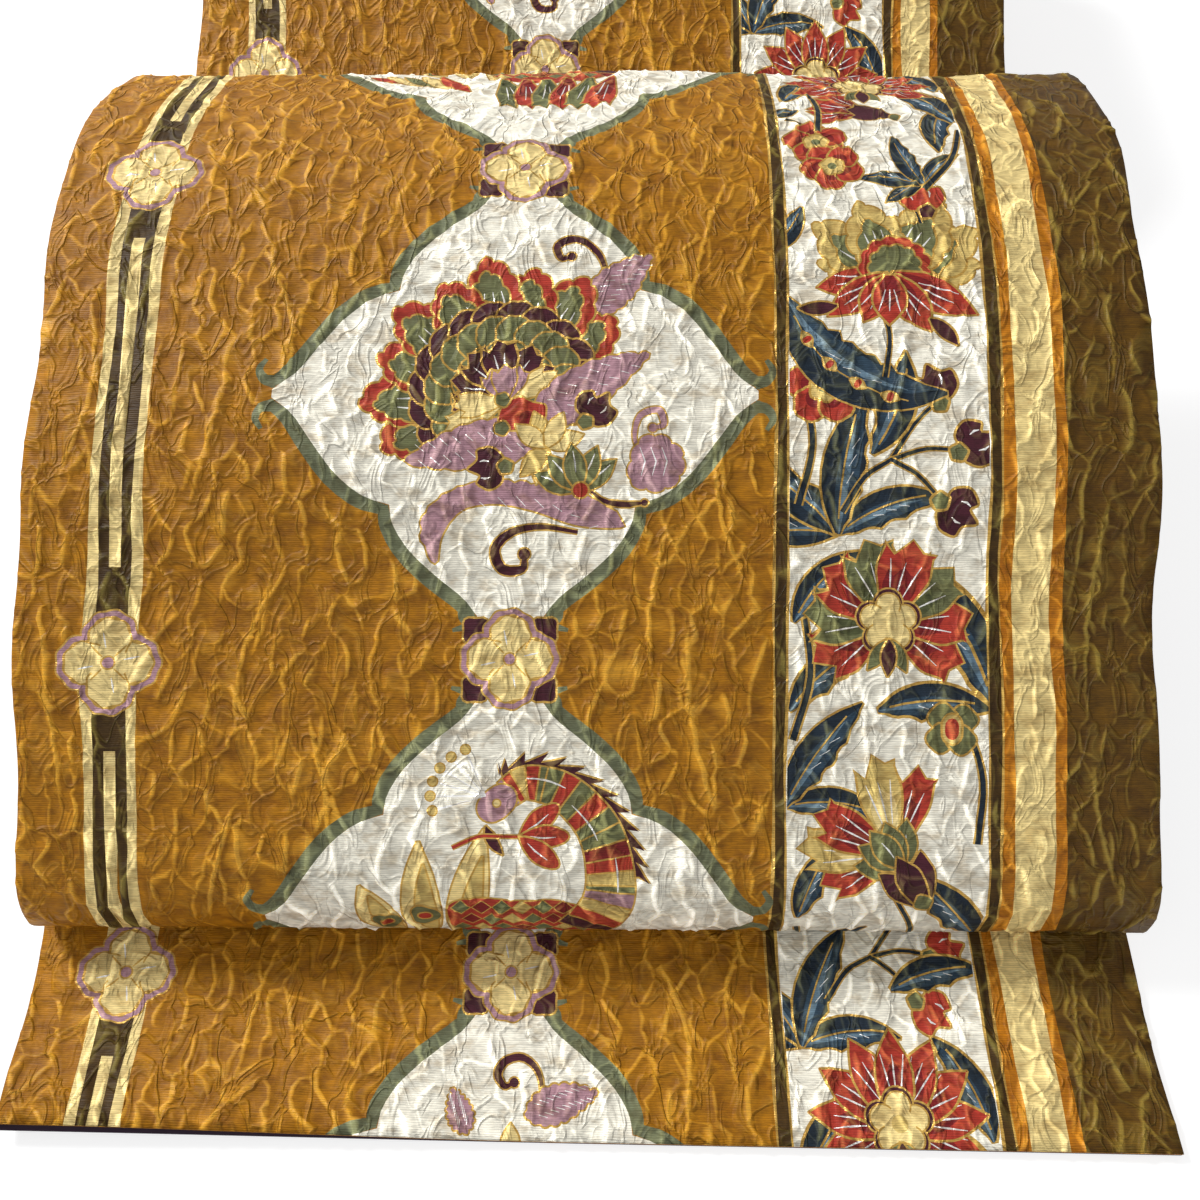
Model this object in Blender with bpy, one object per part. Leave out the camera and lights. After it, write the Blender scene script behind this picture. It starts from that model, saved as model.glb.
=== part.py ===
"""A fukuro obi, laid out on a table for show: its end lies flat in front, the cloth
rises into a puffed drum, comes back down inside it, and climbs as the upper panel onto
the rest of the sash, which is folded to and fro behind.

The sash is one strip of face cloth with a lining sewn behind it. Seen from its right
side, s runs back from the end of the strip and h runs up from the table. A station is a
point on the outside of the face cloth, with the direction that the face looks in. Both
cloths are walls laid along the stations. +X is to the right, +Y back and +Z up.
"""
import math

import bmesh
import bpy

# Cloth
WIDTH = 0.310
FACE = 0.0012
LINING = 0.0010
SEAM = 0.0003
CLOTH = FACE + SEAM + LINING
COLUMNS = 4

# How the strip drifts to the left and turns towards the front
SWAY = 0.004
SWAY_FROM = 0.06
SWAY_TO = 0.32
SLANT = 0.018
SLANT_END = 0.085

# Tare, the end that lies in front
TARE_DEPTH = 0.0787
TARE_FOLD_RADIUS = 0.0008

# Drum
BOTTOM_ROLL_RADIUS = 0.0075
DRUM_FRONT = 0.0536
# columns: s, h
DRUM_OUTLINE = (
    (0.0536, 0.0116),
    (0.0543, 0.0178),
    (0.0571, 0.0240),
    (0.0640, 0.0302),
    (0.0754, 0.0374),
    (0.1033, 0.0539),
    (0.1318, 0.0700),
    (0.1577, 0.0858),
    (0.1925, 0.0996),
    (0.2240, 0.1098),
    (0.2510, 0.1131),
    (0.2762, 0.1105),
    (0.3008, 0.1040),
    (0.3139, 0.0983),
)
DRUM_STEPS = 2
TOP_HEADING = -34.3
TOP_ROLL_RADIUS = 0.016
INNER_HEADING = -152.5
INNER_FOLD_RADIUS = 0.003

# Upper panel
PANEL_FLAT = 0.0534
PANEL_RISE = 28.0
PANEL_BEND_RADIUS = 0.060
PANEL_TOP = 0.0860
PANEL_TOP_RADIUS = 0.030
PANEL_REAR = 0.560
PANEL_REAR_RADIUS = 0.006

# Folded rest of the sash
REST_FRONT = 0.4260
REST_LAYERS = 25
REST_SETBACK = 0.002
LAYER_GROOVE = 0.0010

ARC_STEP = 20.0
COLOURS = {
    "figured face": (0.42, 0.19, 0.02),
    "dark lining": (0.025, 0.012, 0.025),
}


def heading_vector(degrees):
    angle = math.radians(degrees)
    return math.cos(angle), math.sin(angle)


def station(s, h, heading):
    """A point of the strip with the unit vector that its face looks along."""
    along = heading_vector(heading)
    return s, h, -along[1], along[0]


def bend(start, heading, radius, turn, step=ARC_STEP):
    """Stations along an arc; a positive turn closes the fold over the face."""
    side = math.copysign(1.0, turn)
    along = heading_vector(heading)
    centre_s = start[0] - side * radius * along[1]
    centre_h = start[1] + side * radius * along[0]
    count = max(1, math.ceil(abs(turn) / step))
    stations = []
    for index in range(1, count + 1):
        now = heading + turn * index / count
        along = heading_vector(now)
        s = centre_s + side * radius * along[1]
        h = centre_h - side * radius * along[0]
        stations.append(station(s, h, now))
    return stations


def outline_tangents(points, first, last):
    """Unit speed directions at the points of an outline, with the end ones given."""
    tangents = [heading_vector(first)]
    for before, here, after in zip(points, points[1:], points[2:]):
        back = math.dist(before, here)
        ahead = math.dist(here, after)
        tangents.append(tuple(
            ((after[k] - here[k]) / ahead * back + (here[k] - before[k]) / back * ahead)
            / (back + ahead)
            for k in (0, 1)))
    tangents.append(heading_vector(last))
    return tangents


def smooth_outline(points, first, last, steps):
    """Stations along a smooth curve through the points of an outline."""
    tangents = outline_tangents(points, first, last)
    stations = []
    for index in range(len(points) - 1):
        span = math.dist(points[index], points[index + 1])
        for part in range(1, steps + 1):
            t = part / steps
            place = []
            speed = []
            for k in (0, 1):
                a = points[index][k]
                b = points[index + 1][k]
                u = tangents[index][k] * span
                v = tangents[index + 1][k] * span
                place.append(a * (2 * t**3 - 3 * t**2 + 1) + b * (3 * t**2 - 2 * t**3)
                             + u * (t**3 - 2 * t**2 + t) + v * (t**3 - t**2))
                speed.append((b - a) * 6 * (t - t**2) + u * (3 * t**2 - 4 * t + 1)
                             + v * (3 * t**2 - 2 * t))
            heading = math.degrees(math.atan2(speed[1], speed[0]))
            stations.append(station(place[0], place[1], heading))
    return stations


def tare_stations():
    """The end of the sash, face up on the table, as far as half of its inner fold."""
    fold = station(TARE_DEPTH, CLOTH, 0.0)
    flat = [station(TARE_DEPTH * part / 3, CLOTH, 0.0) for part in range(3)]
    return flat + [fold] + bend(fold, 0.0, TARE_FOLD_RADIUS, 90.0, 30.0)


def drum_stations():
    """From the middle of the tare's inner fold, round the drum, to its inner layer's foot."""
    fold = station(TARE_DEPTH + TARE_FOLD_RADIUS, CLOTH + TARE_FOLD_RADIUS, 90.0)
    stations = [fold] + bend(fold, 90.0, TARE_FOLD_RADIUS, 90.0, 30.0)
    under = station(DRUM_FRONT + BOTTOM_ROLL_RADIUS, CLOTH + 2 * TARE_FOLD_RADIUS, 180.0)
    stations.append(under)
    stations += bend(under, 180.0, BOTTOM_ROLL_RADIUS, -90.0)
    stations += smooth_outline(DRUM_OUTLINE, 90.0, TOP_HEADING, DRUM_STEPS)
    turn = INNER_HEADING - TOP_HEADING
    stations += bend(DRUM_OUTLINE[-1], TOP_HEADING, TOP_ROLL_RADIUS, turn)
    # The inner layer runs straight down to where its fold meets the table.
    along = heading_vector(INNER_HEADING)
    last = stations[-1]
    fold_drop = CLOTH + INNER_FOLD_RADIUS * (1 - math.cos(math.radians(INNER_HEADING)))
    length = (last[1] - fold_drop) / -along[1]
    for part in (1, 2):
        reach = length * part / 2
        stations.append(station(last[0] + along[0] * reach, last[1] + along[1] * reach,
                                INNER_HEADING))
    return stations + bend(stations[-1], INNER_HEADING, INNER_FOLD_RADIUS,
                           -INNER_HEADING / 2)


def upper_stations():
    """From the drum's inner fold, up the slope and over the folded rest."""
    middle = drum_stations()[-1]
    stations = [middle] + bend(middle, INNER_HEADING / 2, INNER_FOLD_RADIUS, -INNER_HEADING / 2)
    stations.append(station(stations[-1][0] + PANEL_FLAT, CLOTH, 0.0))
    stations += bend(stations[-1], 0.0, PANEL_BEND_RADIUS, PANEL_RISE, 7.0)
    slope = math.radians(PANEL_RISE)
    crest = PANEL_TOP_RADIUS * (1 - math.cos(slope))
    length = (PANEL_TOP - crest - stations[-1][1]) / math.sin(slope)
    foot = stations[-1]
    for part in (1, 2, 3):
        reach = length * part / 3
        stations.append(station(foot[0] + reach * math.cos(slope),
                                foot[1] + reach * math.sin(slope), PANEL_RISE))
    stations += bend(stations[-1], PANEL_RISE, PANEL_TOP_RADIUS, -PANEL_RISE, 7.0)
    stations.append(station(PANEL_REAR - PANEL_REAR_RADIUS, PANEL_TOP, 0.0))
    return stations + bend(stations[-1], 0.0, PANEL_REAR_RADIUS, -90.0)


def ease(value):
    value = min(1.0, max(0.0, value))
    return value * value * (3 - 2 * value)


def place(x, s, h):
    """World place of a point that is x across the strip, s back and h up."""
    sway = SWAY * (ease((s - SWAY_FROM) / (SWAY_TO - SWAY_FROM)) - 0.5)
    slant = SLANT * (1 - ease(s / SLANT_END))
    front = -SLANT * WIDTH / 2
    return x + sway, s - slant * x - (front + PANEL_REAR) / 2, h


def wall(name, stations, outside, inside, slot):
    """A closed wall of cloth between two depths below the outside of the face."""
    mesh = bmesh.new()
    across = [WIDTH * (column / COLUMNS - 0.5) for column in range(COLUMNS + 1)]
    sheets = []
    for depth in (outside, inside):
        sheets.append([[mesh.verts.new(place(x, s - depth * ns, h - depth * nh))
                        for x in across] for s, h, ns, nh in stations])
    top, under = sheets
    last = len(stations) - 1
    for row in range(last):
        for col in range(COLUMNS):
            mesh.faces.new((top[row][col], top[row][col + 1],
                            top[row + 1][col + 1], top[row + 1][col]))
            mesh.faces.new((under[row][col], under[row + 1][col],
                            under[row + 1][col + 1], under[row][col + 1]))
        for col in (0, COLUMNS):
            mesh.faces.new((top[row][col], top[row + 1][col],
                            under[row + 1][col], under[row][col]))
    for row in (0, last):
        for col in range(COLUMNS):
            mesh.faces.new((top[row][col], top[row][col + 1],
                            under[row][col + 1], under[row][col]))
    return finish(name, mesh, slot)


def folded_rest():
    """The rest of the sash as one solid, grooved where its folds and edges show."""
    mesh = bmesh.new()
    height = PANEL_TOP - CLOTH - SEAM
    layer = height / REST_LAYERS
    rear = PANEL_REAR - CLOTH - SEAM - REST_SETBACK
    rings = []
    for level in range(2 * REST_LAYERS + 1):
        h = level * layer / 2
        edge = LAYER_GROOVE if level % 2 == 0 else 0.0
        front = fold_inset(level, 0, layer)
        back = fold_inset(level, 2, layer)
        half = WIDTH / 2 - edge
        corners = ((-half, REST_FRONT + front), (half, REST_FRONT + front),
                   (half, rear - back), (-half, rear - back))
        rings.append([mesh.verts.new(place(x, s, h)) for x, s in corners])
    mesh.faces.new(rings[0])
    mesh.faces.new(rings[-1])
    for low, high in zip(rings, rings[1:]):
        for index in range(4):
            after = (index + 1) % 4
            mesh.faces.new((low[index], low[after], high[after], high[index]))
    return finish("folded_rest", mesh, "figured face")


def fold_inset(level, offset, layer):
    """How far a round fold over two layers falls back at a half-layer level."""
    across = abs((level + offset) % 4 - 2) / 2
    return layer * (1 - math.sqrt(max(0.0, 1 - (0.94 * across) ** 2)))


def finish(name, mesh, slot):
    """Turn a bmesh into a named object with its faces outwards and its own material."""
    bmesh.ops.recalc_face_normals(mesh, faces=mesh.faces)
    data = bpy.data.meshes.new(name)
    mesh.to_mesh(data)
    mesh.free()
    data.shade_smooth()
    data.set_sharp_from_angle(angle=math.radians(40))
    data.materials.append(cloth_material(slot))
    piece = bpy.data.objects.new(name, data)
    bpy.context.scene.collection.objects.link(piece)
    return piece


def cloth_material(slot):
    material = bpy.data.materials.get(slot)
    if material is None:
        material = bpy.data.materials.new(slot)
        material.use_nodes = True
        shader = material.node_tree.nodes["Principled BSDF"]
        shader.inputs["Base Color"].default_value = (*COLOURS[slot], 1.0)
        shader.inputs["Roughness"].default_value = 0.55
        shader.inputs["Metallic"].default_value = 0.0
    return material


def main():
    for item in list(bpy.data.objects):
        bpy.data.objects.remove(item)
    stretches = {
        "tare": tare_stations(),
        "drum": drum_stations(),
        "upper": upper_stations(),
    }
    # Neighbouring stretches stop short of each other at the middle of the fold they share.
    for name, stations in stretches.items():
        if name != "tare":
            stations[0] = shortened(stations[0], stations[1])
        if name != "upper":
            stations[-1] = shortened(stations[-1], stations[-2])
        wall(name + "_face", stations, 0.0, FACE, "figured face")
        wall(name + "_lining", stations, FACE + SEAM, CLOTH, "dark lining")
    folded_rest()


def shortened(end, towards):
    """The end station drawn back square to its own wall, by half the gap at a seam."""
    s, h, ns, nh = end
    along = (nh, -ns)
    ahead = (towards[0] - s) * along[0] + (towards[1] - h) * along[1]
    reach = math.copysign(SEAM / 2, ahead)
    return s + along[0] * reach, h + along[1] * reach, ns, nh


if __name__ == "__main__":
    main()
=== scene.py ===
"""A fukuro obi laid out for show, with its crinkled and figured face cloth and dark lining.

Lengths on the cloth are in millimetres: u runs across it from the left edge, and v runs
along it from the end that lies in front. Everything else is in metres.
"""
import math
import random

import bmesh
import bpy
import numpy as np
from bpy.props import FloatProperty, FloatVectorProperty, IntProperty, PointerProperty
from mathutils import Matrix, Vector, geometry


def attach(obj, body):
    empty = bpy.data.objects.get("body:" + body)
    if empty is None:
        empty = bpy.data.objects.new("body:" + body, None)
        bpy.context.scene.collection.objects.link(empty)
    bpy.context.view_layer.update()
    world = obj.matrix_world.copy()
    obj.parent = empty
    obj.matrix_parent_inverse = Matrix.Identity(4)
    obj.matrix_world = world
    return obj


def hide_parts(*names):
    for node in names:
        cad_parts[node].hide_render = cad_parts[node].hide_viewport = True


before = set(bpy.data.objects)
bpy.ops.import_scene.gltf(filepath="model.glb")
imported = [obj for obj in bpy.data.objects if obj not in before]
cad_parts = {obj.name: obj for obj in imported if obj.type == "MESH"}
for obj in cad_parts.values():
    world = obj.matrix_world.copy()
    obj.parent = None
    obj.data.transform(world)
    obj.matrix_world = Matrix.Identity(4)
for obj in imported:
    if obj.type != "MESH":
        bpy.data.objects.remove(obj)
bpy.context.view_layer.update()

bl_info = {
    "name": "Fukuro obi",
    "version": (1, 0, 0),
    "blender": (4, 5, 0),
    "location": "3D View > Sidebar > Obi",
    "description": "Builds a crinkled, figured obi sash laid out for show",
    "category": "Object",
}

MM = 0.001


def srgb(red, green, blue):
    """Scene colour of a colour given as it looks, from 0 to 255."""
    shown = (channel / 255 for channel in (red, green, blue))
    return tuple(c / 12.92 if c <= 0.04045 else ((c + 0.055) / 1.055) ** 2.4 for c in shown)


# ---------------------------------------------------------------- the strip's way through its folds

WIDTH = 310.0
FACE = 0.0012
SEAM = 0.0003
CLOTH = 0.0025
PLAIN_SHARE = 0.8
SKIN = 0.0001
TARE_DEPTH = 0.0787
TARE_FOLD_RADIUS = 0.0008
BOTTOM_ROLL_RADIUS = 0.0075
# columns: s, h
DRUM_OUTLINE = (
    (0.0536, 0.0116),
    (0.0543, 0.0178),
    (0.0571, 0.0240),
    (0.0640, 0.0302),
    (0.0754, 0.0374),
    (0.1033, 0.0539),
    (0.1318, 0.0700),
    (0.1577, 0.0858),
    (0.1925, 0.0996),
    (0.2240, 0.1098),
    (0.2510, 0.1131),
    (0.2762, 0.1105),
    (0.3008, 0.1040),
    (0.3139, 0.0983),
)
TOP_HEADING = -34.3
TOP_ROLL_RADIUS = 0.016
INNER_HEADING = -152.5
INNER_FOLD_RADIUS = 0.003
PANEL_FLAT = 0.0534
PANEL_RISE = 28.0
PANEL_BEND_RADIUS = 0.060
PANEL_TOP = 0.0860
PANEL_TOP_RADIUS = 0.030
PANEL_REAR = 0.560
PANEL_REAR_RADIUS = 0.006
SLANT = 0.018
SLANT_END = 0.085
SWAY = 0.004
SWAY_FROM = 0.06
SWAY_TO = 0.32
REST_FRONT = 0.426
REST_LAYERS = 25
REST_SETBACK = 0.002


class Way:
    """The line that the outside of the face cloth follows, seen from the sash's right side."""

    def __init__(self, s, h, heading):
        self.points = [(s, h)]
        self.heading = heading
        self.headings = [heading]

    def ahead(self, length, step=0.004):
        angle = math.radians(self.heading)
        s, h = self.points[-1]
        count = max(1, math.ceil(length / step))
        for index in range(1, count + 1):
            reach = length * index / count
            self.points.append((s + reach * math.cos(angle), h + reach * math.sin(angle)))
            self.headings.append(self.heading)

    def bend(self, radius, turn, step=9.0):
        """An arc; a positive turn closes the fold over the face."""
        side = math.copysign(1.0, turn)
        angle = math.radians(self.heading)
        s, h = self.points[-1]
        centre = (s - side * radius * math.sin(angle), h + side * radius * math.cos(angle))
        start = self.heading
        count = max(2, math.ceil(abs(turn) / step))
        for index in range(1, count + 1):
            self.heading = start + turn * index / count
            angle = math.radians(self.heading)
            self.points.append((centre[0] + side * radius * math.sin(angle),
                                centre[1] - side * radius * math.cos(angle)))
            self.headings.append(self.heading)

    def through(self, outline, last_heading, steps=8):
        """A smooth curve through the points of an outline, which starts where the way is."""
        ends = [self.heading, last_heading]
        tangents = [(math.cos(math.radians(a)), math.sin(math.radians(a))) for a in ends]
        for before, here, after in zip(outline, outline[1:], outline[2:]):
            back = math.dist(before, here)
            front = math.dist(here, after)
            tangents.insert(-1, tuple(
                ((after[k] - here[k]) / front * back + (here[k] - before[k]) / back * front)
                / (back + front) for k in (0, 1)))
        for index in range(len(outline) - 1):
            a, b = outline[index], outline[index + 1]
            span = math.dist(a, b)
            for part in range(1, steps + 1):
                t = part / steps
                place = []
                speed = []
                for k in (0, 1):
                    u = tangents[index][k] * span
                    v = tangents[index + 1][k] * span
                    place.append(a[k] * (2 * t**3 - 3 * t**2 + 1) + b[k] * (3 * t**2 - 2 * t**3)
                                 + u * (t**3 - 2 * t**2 + t) + v * (t**3 - t**2))
                    speed.append((b[k] - a[k]) * 6 * (t - t**2) + u * (3 * t**2 - 4 * t + 1)
                                 + v * (3 * t**2 - 2 * t))
                self.points.append(tuple(place))
                self.headings.append(math.degrees(math.atan2(speed[1], speed[0])))
        self.heading = last_heading

    def close(self):
        """Work out the distance along the way, in millimetres, at each point."""
        points = np.array(self.points)
        steps = np.hypot(*np.diff(points, axis=0).T)
        self.v = np.concatenate([[0.0], np.cumsum(steps)]) / MM
        self.s, self.h = points.T
        angle = np.radians(self.headings)
        self.ns, self.nh = -np.sin(angle), np.cos(angle)
        return self

    def at(self, v):
        values = [np.interp(v, self.v, column) for column in (self.s, self.h, self.ns, self.nh)]
        size = np.hypot(values[2], values[3])
        return values[0], values[1], values[2] / size, values[3] / size


def show_way():
    """The way of the stretches that show, with the distances where they meet."""
    way = Way(0.0, CLOTH, 0.0)
    way.ahead(TARE_DEPTH)
    way.bend(TARE_FOLD_RADIUS, 90.0, 15.0)
    tare_end = len(way.points) - 1
    way.bend(TARE_FOLD_RADIUS, 90.0, 15.0)
    way.ahead(TARE_DEPTH - DRUM_OUTLINE[0][0] - BOTTOM_ROLL_RADIUS)
    way.bend(BOTTOM_ROLL_RADIUS, -90.0)
    way.through(DRUM_OUTLINE, TOP_HEADING)
    way.bend(TOP_ROLL_RADIUS, INNER_HEADING - TOP_HEADING)
    fold_height = CLOTH + INNER_FOLD_RADIUS * (1 - math.cos(math.radians(INNER_HEADING)))
    drop = way.points[-1][1] - fold_height
    way.ahead(drop / -math.sin(math.radians(INNER_HEADING)))
    way.bend(INNER_FOLD_RADIUS, -INNER_HEADING / 2)
    drum_end = len(way.points) - 1
    way.bend(INNER_FOLD_RADIUS, -INNER_HEADING / 2)
    way.ahead(PANEL_FLAT)
    way.bend(PANEL_BEND_RADIUS, PANEL_RISE, 2.0)
    slope = math.radians(PANEL_RISE)
    crest = PANEL_TOP_RADIUS * (1 - math.cos(slope))
    way.ahead((PANEL_TOP - crest - way.points[-1][1]) / math.sin(slope))
    way.bend(PANEL_TOP_RADIUS, -PANEL_RISE, 4.0)
    way.ahead(PANEL_REAR - PANEL_REAR_RADIUS - way.points[-1][0])
    way.bend(PANEL_REAR_RADIUS, -90.0)
    way.close()
    return way, way.v[tare_end], way.v[drum_end], way.v[-1]


WAY, TARE_END, DRUM_END, UPPER_END = show_way()


def ease(value):
    value = np.clip(value, 0.0, 1.0)
    return value * value * (3 - 2 * value)


def table_place(x, s, h):
    """World place of points x across the strip, s back from its end and h up."""
    sway = SWAY * (ease((s - SWAY_FROM) / (SWAY_TO - SWAY_FROM)) - 0.5)
    slant = SLANT * (1 - ease(s / SLANT_END))
    front = -SLANT * WIDTH * MM / 2
    return np.stack([x + sway, s - slant * x - (front + PANEL_REAR) / 2, h], axis=-1)


# ---------------------------------------------------------------- creases

# The longest creases, listed one by one. columns: u, v, u at the far end, v there, height in mm
MAIN_CREASES = (
    (52, 118, 60, 150, 1.0),
    (88, 130, 80, 176, 0.9),
    (60, 176, 72, 214, 0.9),
    (166, 122, 158, 166, 1.0),
    (190, 150, 182, 196, 1.1),
    (172, 186, 178, 232, 0.9),
    (196, 214, 190, 262, 1.0),
    (46, 232, 54, 268, 0.8),
    (70, 262, 62, 306, 0.9),
    (182, 288, 192, 330, 0.8),
    (54, 322, 66, 352, 0.8),
    (96, 352, 88, 392, 0.7),
    (236, 146, 230, 178, 0.8),
    (246, 214, 252, 240, 0.8),
    (290, 180, 296, 232, 0.9),
    (284, 262, 290, 318, 0.8),
    (298, 128, 292, 160, 0.8),
    (12, 150, 8, 198, 0.8),
    (10, 240, 14, 290, 0.8),
    (62, 14, 68, 50, 0.9),
    (182, 8, 176, 46, 0.9),
    (194, 30, 200, 52, 0.8),
    (286, 8, 292, 48, 0.8),
    (60, 700, 66, 742, 0.8),
    (176, 756, 170, 800, 0.8),
    (92, 810, 100, 858, 0.8),
    (188, 860, 180, 912, 0.8),
    (64, 890, 70, 940, 0.8),
)
# The stretch that is folded away under the drum's top
BURIED = (462.0, 660.0)
CRIMP_CELL = (6.6, 10.5)
CRIMP_HEIGHT = 1.15
MAP_STEP = 0.3
CREST_FOOT = 0.85
# Where folds press the crimp flat. columns: v, v at the end, what is left of it
PRESSED = (
    (TARE_END - 14, TARE_END + 14, 0.12),
    (DRUM_END - 16, DRUM_END + 16, 0.3),
)


def crimp_network(length, seed):
    """Crest lines of the crinkled cloth: the edges of uneven cells, some left out."""
    dice = random.Random(seed)
    wide, tall = CRIMP_CELL
    seeds = []
    for row in range(-2, int(length / tall) + 3):
        for col in range(-2, int(WIDTH / wide) + 3):
            u = (col + 0.5 * (row % 2) + dice.uniform(-0.42, 0.42)) * wide
            v = (row + dice.uniform(-0.42, 0.42)) * tall
            seeds.append((u, v))
    stretch = wide / tall * 1.15
    verts, _, faces, *_ = geometry.delaunay_2d_cdt(
        [Vector((u, v * stretch)) for u, v in seeds], [], [], 0, 1e-5, False)
    centres = [circle_centre(*(verts[i] for i in face)) for face in faces]
    sides = {}
    for index, face in enumerate(faces):
        for a, b in zip(face, face[1:] + face[:1]):
            sides.setdefault((min(a, b), max(a, b)), []).append(index)
    lines = []
    for owners in sides.values():
        if len(owners) != 2:
            continue
        start, end = (np.array(centres[k]) / (1.0, stretch) for k in owners)
        span = end - start
        size = np.hypot(*span)
        inside = -10 < start[0] < WIDTH + 10 and -10 < start[1] < length + 10
        if not inside or size < 1.5 or size > 30:
            continue
        lengthwise = abs(span[1]) / size
        if dice.random() > 0.3 + 0.6 * lengthwise:
            continue
        height = CRIMP_HEIGHT * dice.uniform(0.3, 1.0) * (0.35 + 0.65 * lengthwise)
        lines.append(wandering(start, end, height, dice))
    for u0, v0, u1, v1, height in MAIN_CREASES:
        if v1 < length:
            lines.append(wandering(np.array((u0, v0)), np.array((u1, v1)), height, dice))
    return lines


def circle_centre(a, b, c):
    """Centre of the circle through three points."""
    d = 2 * (a.x * (b.y - c.y) + b.x * (c.y - a.y) + c.x * (a.y - b.y))
    if abs(d) < 1e-9:
        return tuple((a + b + c) / 3)
    aa, bb, cc = a.length_squared, b.length_squared, c.length_squared
    return ((aa * (b.y - c.y) + bb * (c.y - a.y) + cc * (a.y - b.y)) / d,
            (aa * (c.x - b.x) + bb * (a.x - c.x) + cc * (b.x - a.x)) / d)


def wandering(start, end, height, dice):
    """A crest line that wavers between two points, with its height at each of its points."""
    span = end - start
    size = np.hypot(*span)
    count = max(2, int(size / 2.5))
    normal = np.array((-span[1], span[0])) / size
    bow = dice.uniform(-0.12, 0.12) * size
    points = []
    for index in range(count + 1):
        t = index / count
        off = bow * math.sin(math.pi * t)
        if 0 < index < count:
            off += dice.uniform(-0.45, 0.45)
        points.append(start + span * t + normal * off)
    ends = dice.uniform(0.25, 0.8), dice.uniform(0.25, 0.8)
    t = np.linspace(0, 1, count + 1)
    swell = np.minimum(1.0, ends[0] + 3 * t) * np.minimum(1.0, ends[1] + 3 * (1 - t))
    return np.array(points), height * swell


class Crimp:
    """The crinkle of a length of cloth, as crest lines and as a map of their relief."""

    def __init__(self, length, seed):
        self.lines = crimp_network(length, seed)
        self.shape = (int(length / MAP_STEP) + 40, int(WIDTH / MAP_STEP) + 40)
        self.map = np.zeros(self.shape)
        reach = 11
        grid = np.arange(-reach, reach + 1)
        across, along = np.meshgrid(grid, grid)
        distance = np.hypot(across, along) * MAP_STEP
        dice = random.Random(seed + 1)
        for points, heights in self.lines:
            width = dice.uniform(0.6, 1.05)
            stamp = 1 / (1 + (distance / width) ** 2) ** 2
            stamp = np.clip(stamp - 0.01, 0, None)
            steps = np.concatenate([[0], np.cumsum(np.hypot(*np.diff(points, axis=0).T))])
            samples = np.arange(0, steps[-1], 0.45)
            us = np.interp(samples, steps, points[:, 0])
            vs = np.interp(samples, steps, points[:, 1])
            hs = np.interp(samples, steps, heights)
            for u, v, h in zip(us, vs, hs):
                col = int(round(u / MAP_STEP)) + 20
                row = int(round(v / MAP_STEP)) + 20
                if reach <= col < self.shape[1] - reach and reach <= row < self.shape[0] - reach:
                    part = self.map[row - reach:row + reach + 1, col - reach:col + reach + 1]
                    np.maximum(part, stamp * h, out=part)

    def at(self, u, v):
        """Relief in millimetres at points of the cloth."""
        col = np.clip(u / MAP_STEP + 20, 0, self.shape[1] - 2)
        row = np.clip(v / MAP_STEP + 20, 0, self.shape[0] - 2)
        c0, r0 = col.astype(int), row.astype(int)
        fc, fr = col - c0, row - r0
        low = self.map[r0, c0] * (1 - fc) + self.map[r0, c0 + 1] * fc
        high = self.map[r0 + 1, c0] * (1 - fc) + self.map[r0 + 1, c0 + 1] * fc
        return low * (1 - fr) + high * fr


def pressed(v):
    """Share of the crinkle that is left at a distance along the shown stretches."""
    share = np.ones_like(v)
    for start, end, left in PRESSED:
        middle, half = (start + end) / 2, (end - start) / 2
        share *= left + (1 - left) * ease(np.abs(v - middle) / half - 0.2)
    return share


def swell(u, v):
    """Slow rise and fall, in millimetres, that the face and its lining share."""
    slow = 0.75 * np.sin(u / 23 + 1.3 * np.sin(v / 61)) * np.sin(v / 34 + u / 90)
    return (slow + 0.4 * np.sin(v / 15 + u / 37 + 2)) * pressed(v)


# ---------------------------------------------------------------- drawing on the cloth


def smooth(points, steps=5, closed=False):
    """A round curve through points."""
    p = [np.array(q, float) for q in points]
    if closed:
        p = [p[-1]] + p + p[:2]
    else:
        p = [2 * p[0] - p[1]] + p + [2 * p[-1] - p[-2]]
    out = []
    for a, b, c, d in zip(p, p[1:], p[2:], p[3:]):
        for part in range(steps):
            t = part / steps
            out.append(0.5 * (2 * b + (c - a) * t + (2 * a - 5 * b + 4 * c - d) * t * t
                              + (3 * b - a - 3 * c + d) * t**3))
    if not closed:
        out.append(p[-2])
    return np.array(out)


def turned_normals(points, closed):
    """Unit directions to the right of travel at the points of a line."""
    if closed:
        before, after = np.roll(points, 1, axis=0), np.roll(points, -1, axis=0)
    else:
        before = np.vstack([points[:1], points[:-1]])
        after = np.vstack([points[1:], points[-1:]])
    along = after - before
    size = np.maximum(np.hypot(along[:, 0], along[:, 1]), 1e-9)
    return np.stack([along[:, 1], -along[:, 0]], axis=1) / size[:, None]


def grown(points, by):
    """A closed outline moved outwards, or inwards where by is negative."""
    x, y = points.T
    area = np.sum(x * np.roll(y, -1) - np.roll(x, -1) * y)
    return points + turned_normals(points, True) * by * (1 if area > 0 else -1)


def ring(radius, wave=0.0, waves=4, wave2=0.0, waves2=12, steps=48, phase=0.0):
    """A round outline with lobes."""
    a = np.linspace(0, 2 * math.pi, steps, endpoint=False)
    r = radius * (1 + wave * np.cos(waves * (a - phase)) + wave2 * np.cos(waves2 * (a - phase)))
    return np.stack([r * np.cos(a), r * np.sin(a)], axis=1)


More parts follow.
